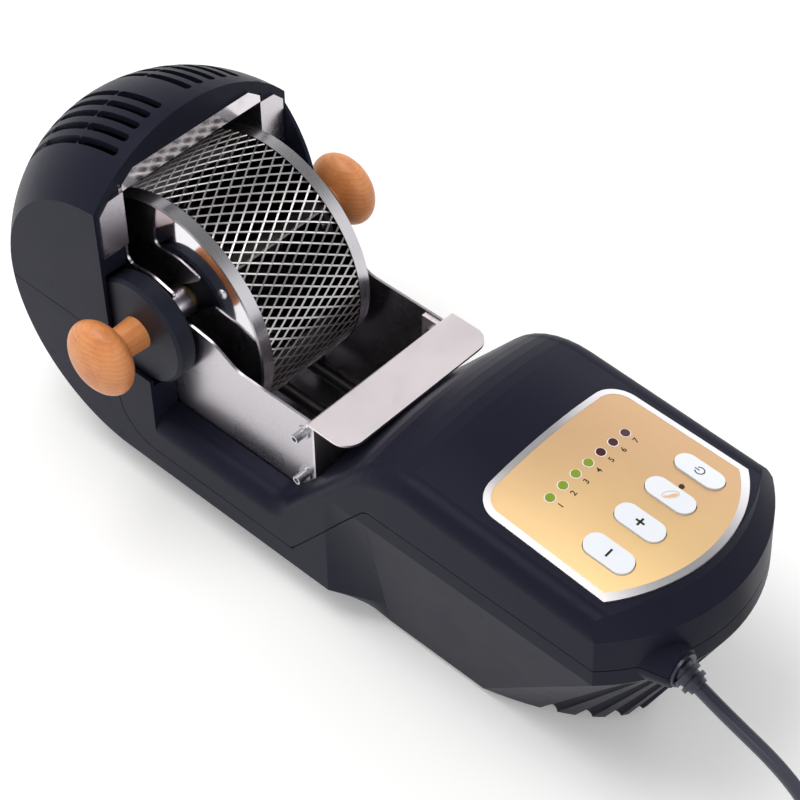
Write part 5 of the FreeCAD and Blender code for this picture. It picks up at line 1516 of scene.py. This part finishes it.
    def rivets(self) -> None:
        """Rounded rivet heads on the pressed face, one over each rivet of the CAD."""
        tree = Tree("Rivet heads", [("Head Radius", FLOAT, self.rivet_radius),
                                    ("Head Height", FLOAT, self.rivet_height)])
        dome = tree.add("GeometryNodeMeshUVSphere", {"Segments": self.rivet_sides,
                                                     "Rings": self.rivet_sides // 2,
                                                     "Radius": tree.given("Head Radius")})
        flat = tree.math("DIVIDE", tree.given("Head Height"), tree.given("Head Radius"))
        squashed = tree.add("GeometryNodeTransform", {"Geometry": dome.outputs["Mesh"],
                                                      "Scale": tree.combine(X=flat, Y=1.0, Z=1.0)})
        tree.finish(tree.at_places(squashed), self.paints["brushed_steel"])
        seats = []
        for place_at in (p for p in solid_middles(self.nodes["cap_rivets"]) if p.x < self.axis.x):
            radius = math.hypot(place_at.y - self.axis.y, place_at.z - self.axis.z)
            seats.append((self.axis.x - self.face_at(radius), place_at.y, place_at.z))
        self.keep(tree.run("cap_rivet_heads", self.paints["brushed_steel"], seats), "drum", "brushed_steel")

    def build(self) -> None:
        """Makes the mesh, the pressed face on the left cap and its rivet heads, and hides the CAD's mesh."""
        self.pressed_face()
        self.rivets()
        net = self.mesh_tree().run("drum_net", self.paints["mesh_steel"])
        self.keep(net, "drum", "mesh_steel")
        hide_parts("drum_mesh")
        LOG.info("drum_net: %d faces", len(net.data.polygons))


# --- Controls ---


@dataclass
class Controls(SubAssembly):
    """The panel with its lamps and buttons, and what is printed on them."""

    led_row: float = -209.0 * MM
    led_pitch: float = 7.87 * MM
    led_count: int = 7
    ring_inner: float = 2.02 * MM
    ring_outer: float = 2.45 * MM
    digit_height: float = 2.7 * MM
    digit_drop: float = 5.6 * MM
    button_row: float = -243.0 * MM
    button_pitch: float = 19.2 * MM
    ring_clearance: float = 1.4
    ring_points: int = 40
    font_share: float = 1.4
    sign_arm: float = 2.1 * MM
    sign_width: float = 0.95 * MM
    bean_turn_deg: float = -35.0
    bean_radii: tuple[float, float] = (3.6 * MM, 1.75 * MM)
    bean_line: float = 0.3 * MM
    bean_points: int = 36
    bean_fill_radii: tuple[float, float] = (3.1 * MM, 1.3 * MM)
    bean_fold_height: float = 0.28 * MM
    bean_steps: int = 20
    power_radius: float = 2.0 * MM
    power_gap_deg: float = 32.0
    power_steps: int = 28
    power_bar: tuple[float, float] = (0.2 * MM, 2.5 * MM)
    power_line: float = 0.5 * MM
    print_lift: float = 0.02 * MM
    print_thickness: float = 0.05 * MM
    print_weight: float = 0.05 * MM

    def finishes(self) -> dict[str, str]:
        """The finish of each of its nodes."""
        caps = {f"button_{mark.value}": "button_white" for mark in Mark}
        return {**caps, "control_panel": "gold_panel", "panel_trim": "panel_trim",
                "lamps_green": "lamp_green", "lamps_red": "lamp_red", "status_lamp": "lamp_red"}

    def outline(self, name: str, strokes: Sequence[Stroke], width: float, closed: bool, at: Matrix,
                material: bpy.types.Material) -> bpy.types.Object:
        """Flat strokes of one width laid on a surface.

        Args:
            name: the piece's name.
            strokes: each stroke's points, in metres about the drawing's middle.
            width: the strokes' width.
            closed: whether each stroke ends where it starts.
            at: the drawing's axes on the surface.
            material: its ink.

        Returns:
            The printed piece.
        """
        made = bmesh.new()
        for stroke in strokes:
            count = len(stroke)
            ribs = []
            for i, (x, y) in enumerate(stroke):
                before = stroke[(i - 1) % count] if closed or i else stroke[0]
                after = stroke[(i + 1) % count] if closed or i < count - 1 else stroke[-1]
                run = Vector((after[0] - before[0], after[1] - before[1]))
                run.normalize()
                side = Vector((-run.y, run.x)) * (width / 2)
                low, high = self.print_lift, self.print_lift + self.print_thickness
                ribs.append([made.verts.new((x + side.x * s, y + side.y * s, z))
                             for s, z in ((-1, low), (1, low), (1, high), (-1, high))])
            skin(made, ribs, closed)
        bmesh.ops.transform(made, matrix=at, verts=made.verts)
        return from_bmesh(name, made, material, None)

    def printed_digit(self, name: str, digit: int, at: Matrix) -> bpy.types.Object:
        """A digit printed on a surface.

        Args:
            name: the piece's name.
            digit: what is printed.
            at: its axes on the surface.

        Returns:
            The printed piece.
        """
        data = bpy.data.curves.new(name, "FONT")
        data.body = str(digit)
        data.size = self.digit_height * self.font_share
        data.align_x, data.align_y = "CENTER", "CENTER"
        data.extrude = self.print_thickness / 2
        data.offset = self.print_weight
        writer = into_scene(name + "_writer", data)
        mesh = evaluated_mesh(writer)
        bpy.data.objects.remove(writer)
        mesh.transform(at @ Matrix.Translation((0, 0, self.print_lift + self.print_thickness / 2)))
        return mesh_object(name, mesh, self.paints["ink"], None)

    @staticmethod
    def ring(count: int, radius_x: float, radius_y: float) -> Stroke:
        """Points of an ellipse by its half width and half height."""
        turns = [2 * math.pi * i / count for i in range(count)]
        return [(radius_x * math.cos(turn), radius_y * math.sin(turn)) for turn in turns]

    def lamp_marks(self, panel: Surface) -> None:
        """The lamps' white rings and the digits in front of them.

        Args:
            panel: the panel's surface.
        """
        for number in range(self.led_count):
            x = (number - (self.led_count - 1) / 2) * self.led_pitch
            y = self.axis.y + self.led_row
            middle = (self.ring_inner + self.ring_outer) / 2
            at = self.ring_frame(panel, x, y, middle * self.ring_clearance)
            ring = self.outline(f"lamp_ring_{number + 1}", [self.ring(self.ring_points, middle, middle)],
                                self.ring_outer - self.ring_inner, True, at, self.paints["lamp_ring"])
            self.keep(ring, "base", "button_white")
            digit = self.printed_digit(f"digit_{number + 1}", number + 1,
                                       panel.frame_at(x, y - self.digit_drop))
            self.keep(digit, "base", "component")

    def ring_frame(self, panel: Surface, x: float, y: float, reach: float) -> Matrix:
        """Axes at the middle of a hole, taken from the surface on both sides of it.

        Args:
            panel: the panel's surface.
            x: the hole's place.
            y: the hole's place.
            reach: how far out the surface is read.

        Returns:
            The axes.
        """
        left, right = panel.frame_at(x - reach, y), panel.frame_at(x + reach, y)
        turned = left.to_quaternion().slerp(right.to_quaternion(), 0.5)
        return Matrix.LocRotScale((left.translation + right.translation) / 2, turned, None)

    def mark_strokes(self, mark: Mark) -> tuple[list[Stroke], float, bool]:
        """The strokes of a button's symbol.

        Args:
            mark: which symbol.

        Returns:
            The strokes, their width, and whether they are closed.
        """
        level = [(-self.sign_arm, 0.0), (self.sign_arm, 0.0)]
        if mark is Mark.MINUS:
            return [level], self.sign_width, False
        if mark is Mark.PLUS:
            return [level, [(y, x) for x, y in level]], self.sign_width, False
        if mark is Mark.BEAN:
            turn = Matrix.Rotation(math.radians(self.bean_turn_deg), 2)
            points = [turn @ Vector(p) for p in self.ring(self.bean_points, *self.bean_radii)]
            return [[tuple(p) for p in points]], self.bean_line, True
        gap = math.radians(self.power_gap_deg)
        start, sweep = math.pi / 2 + gap, 2 * (math.pi - gap)
        turns = [start + sweep * i / self.power_steps for i in range(self.power_steps + 1)]
        arc = [(self.power_radius * math.cos(turn), self.power_radius * math.sin(turn)) for turn in turns]
        return [arc, [(0.0, y) for y in self.power_bar]], self.power_line, False

    def bean_fold(self, at: Matrix) -> bpy.types.Object:
        """The bean's lower half, filled up to its wavy fold.

        Args:
            at: the button's axes.

        Returns:
            The printed piece.
        """
        made = bmesh.new()
        turn = Matrix.Rotation(math.radians(self.bean_turn_deg), 4, "Z")
        wide, tall = self.bean_fill_radii
        low, high = self.print_lift, self.print_lift + self.print_thickness
        strips = []
        for i in range(self.bean_steps + 1):
            x = -wide + 2 * wide * i / self.bean_steps
            edge = -tall * math.sqrt(max(0.0, 1 - (x / wide) ** 2))
            fold = self.bean_fold_height * math.sin(math.pi * x / wide)
            strips.append([made.verts.new(turn @ Vector((x, y, z)))
                           for y, z in ((edge, low), (fold, low), (fold, high), (edge, high))])
        skin(made, strips, False)
        bmesh.ops.transform(made, matrix=at, verts=made.verts)
        return from_bmesh("bean_fill", made, self.paints["ink_bean"], None)

    def button_marks(self) -> None:
        """The symbol on each cap, which rides down with it."""
        for i, mark in enumerate(Mark):
            body = f"button_{mark.value}"
            x = (i - (len(Mark) - 1) / 2) * self.button_pitch
            at = Surface(self.nodes[body]).frame_at(x, self.axis.y + self.button_row)
            strokes, width, closed = self.mark_strokes(mark)
            ink = "ink_bean" if mark is Mark.BEAN else "ink"
            self.keep(self.outline(f"mark_{mark.value}", strokes, width, closed, at, self.paints[ink]),
                      body, "component")
            if mark is Mark.BEAN:
                self.keep(self.bean_fold(at), body, "component")

    def build(self) -> None:
        """Prints the panel and the caps."""
        self.lamp_marks(Surface(self.nodes["control_panel"]))
        self.button_marks()


# --- The whole roaster ---


@dataclass
class Roaster:
    """The frame with its finishes and the pieces made around it."""

    frame: dict
    paints: Paintbox | None = None

    def axis(self) -> Vector:
        """The middle of the drum's axis, from its joint."""
        joint = next(j for j in self.frame["joints"] if j["name"] == "drum_spin")
        return Vector(joint["pos_m"])

    def build(self) -> None:
        """Builds the sub-assemblies in order."""
        axis = self.axis()
        nodes = self.frame["nodes"]
        low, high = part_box("control_panel")
        # The panel's low corner is where the painted light on the foil is brightest.
        self.paints = Paintbox(Groups(), tuple(axis), (low[0], low[1], low[2]))
        self.paints.mix()
        Studio().build()
        bare = set(nodes)
        for kind in (Supply, Housing, Chamber, Drum, Drive, Electronics, Controls):
            assembly = kind(self.paints, nodes, axis)
            assembly.dress()
            assembly.build()
            bare -= set(assembly.finishes())
            LOG.info("%s built", kind.__name__)
        if bare:
            raise ValueError(f"no sub-assembly dresses {sorted(bare)}")


def main() -> None:
    """Builds the scene."""
    logging.basicConfig(level=logging.INFO, format="%(name)s: %(message)s")
    bpy.ops.wm.read_factory_settings(use_empty=True)
    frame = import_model()
    Roaster(frame).build()


if __name__ == "__main__":
    main()
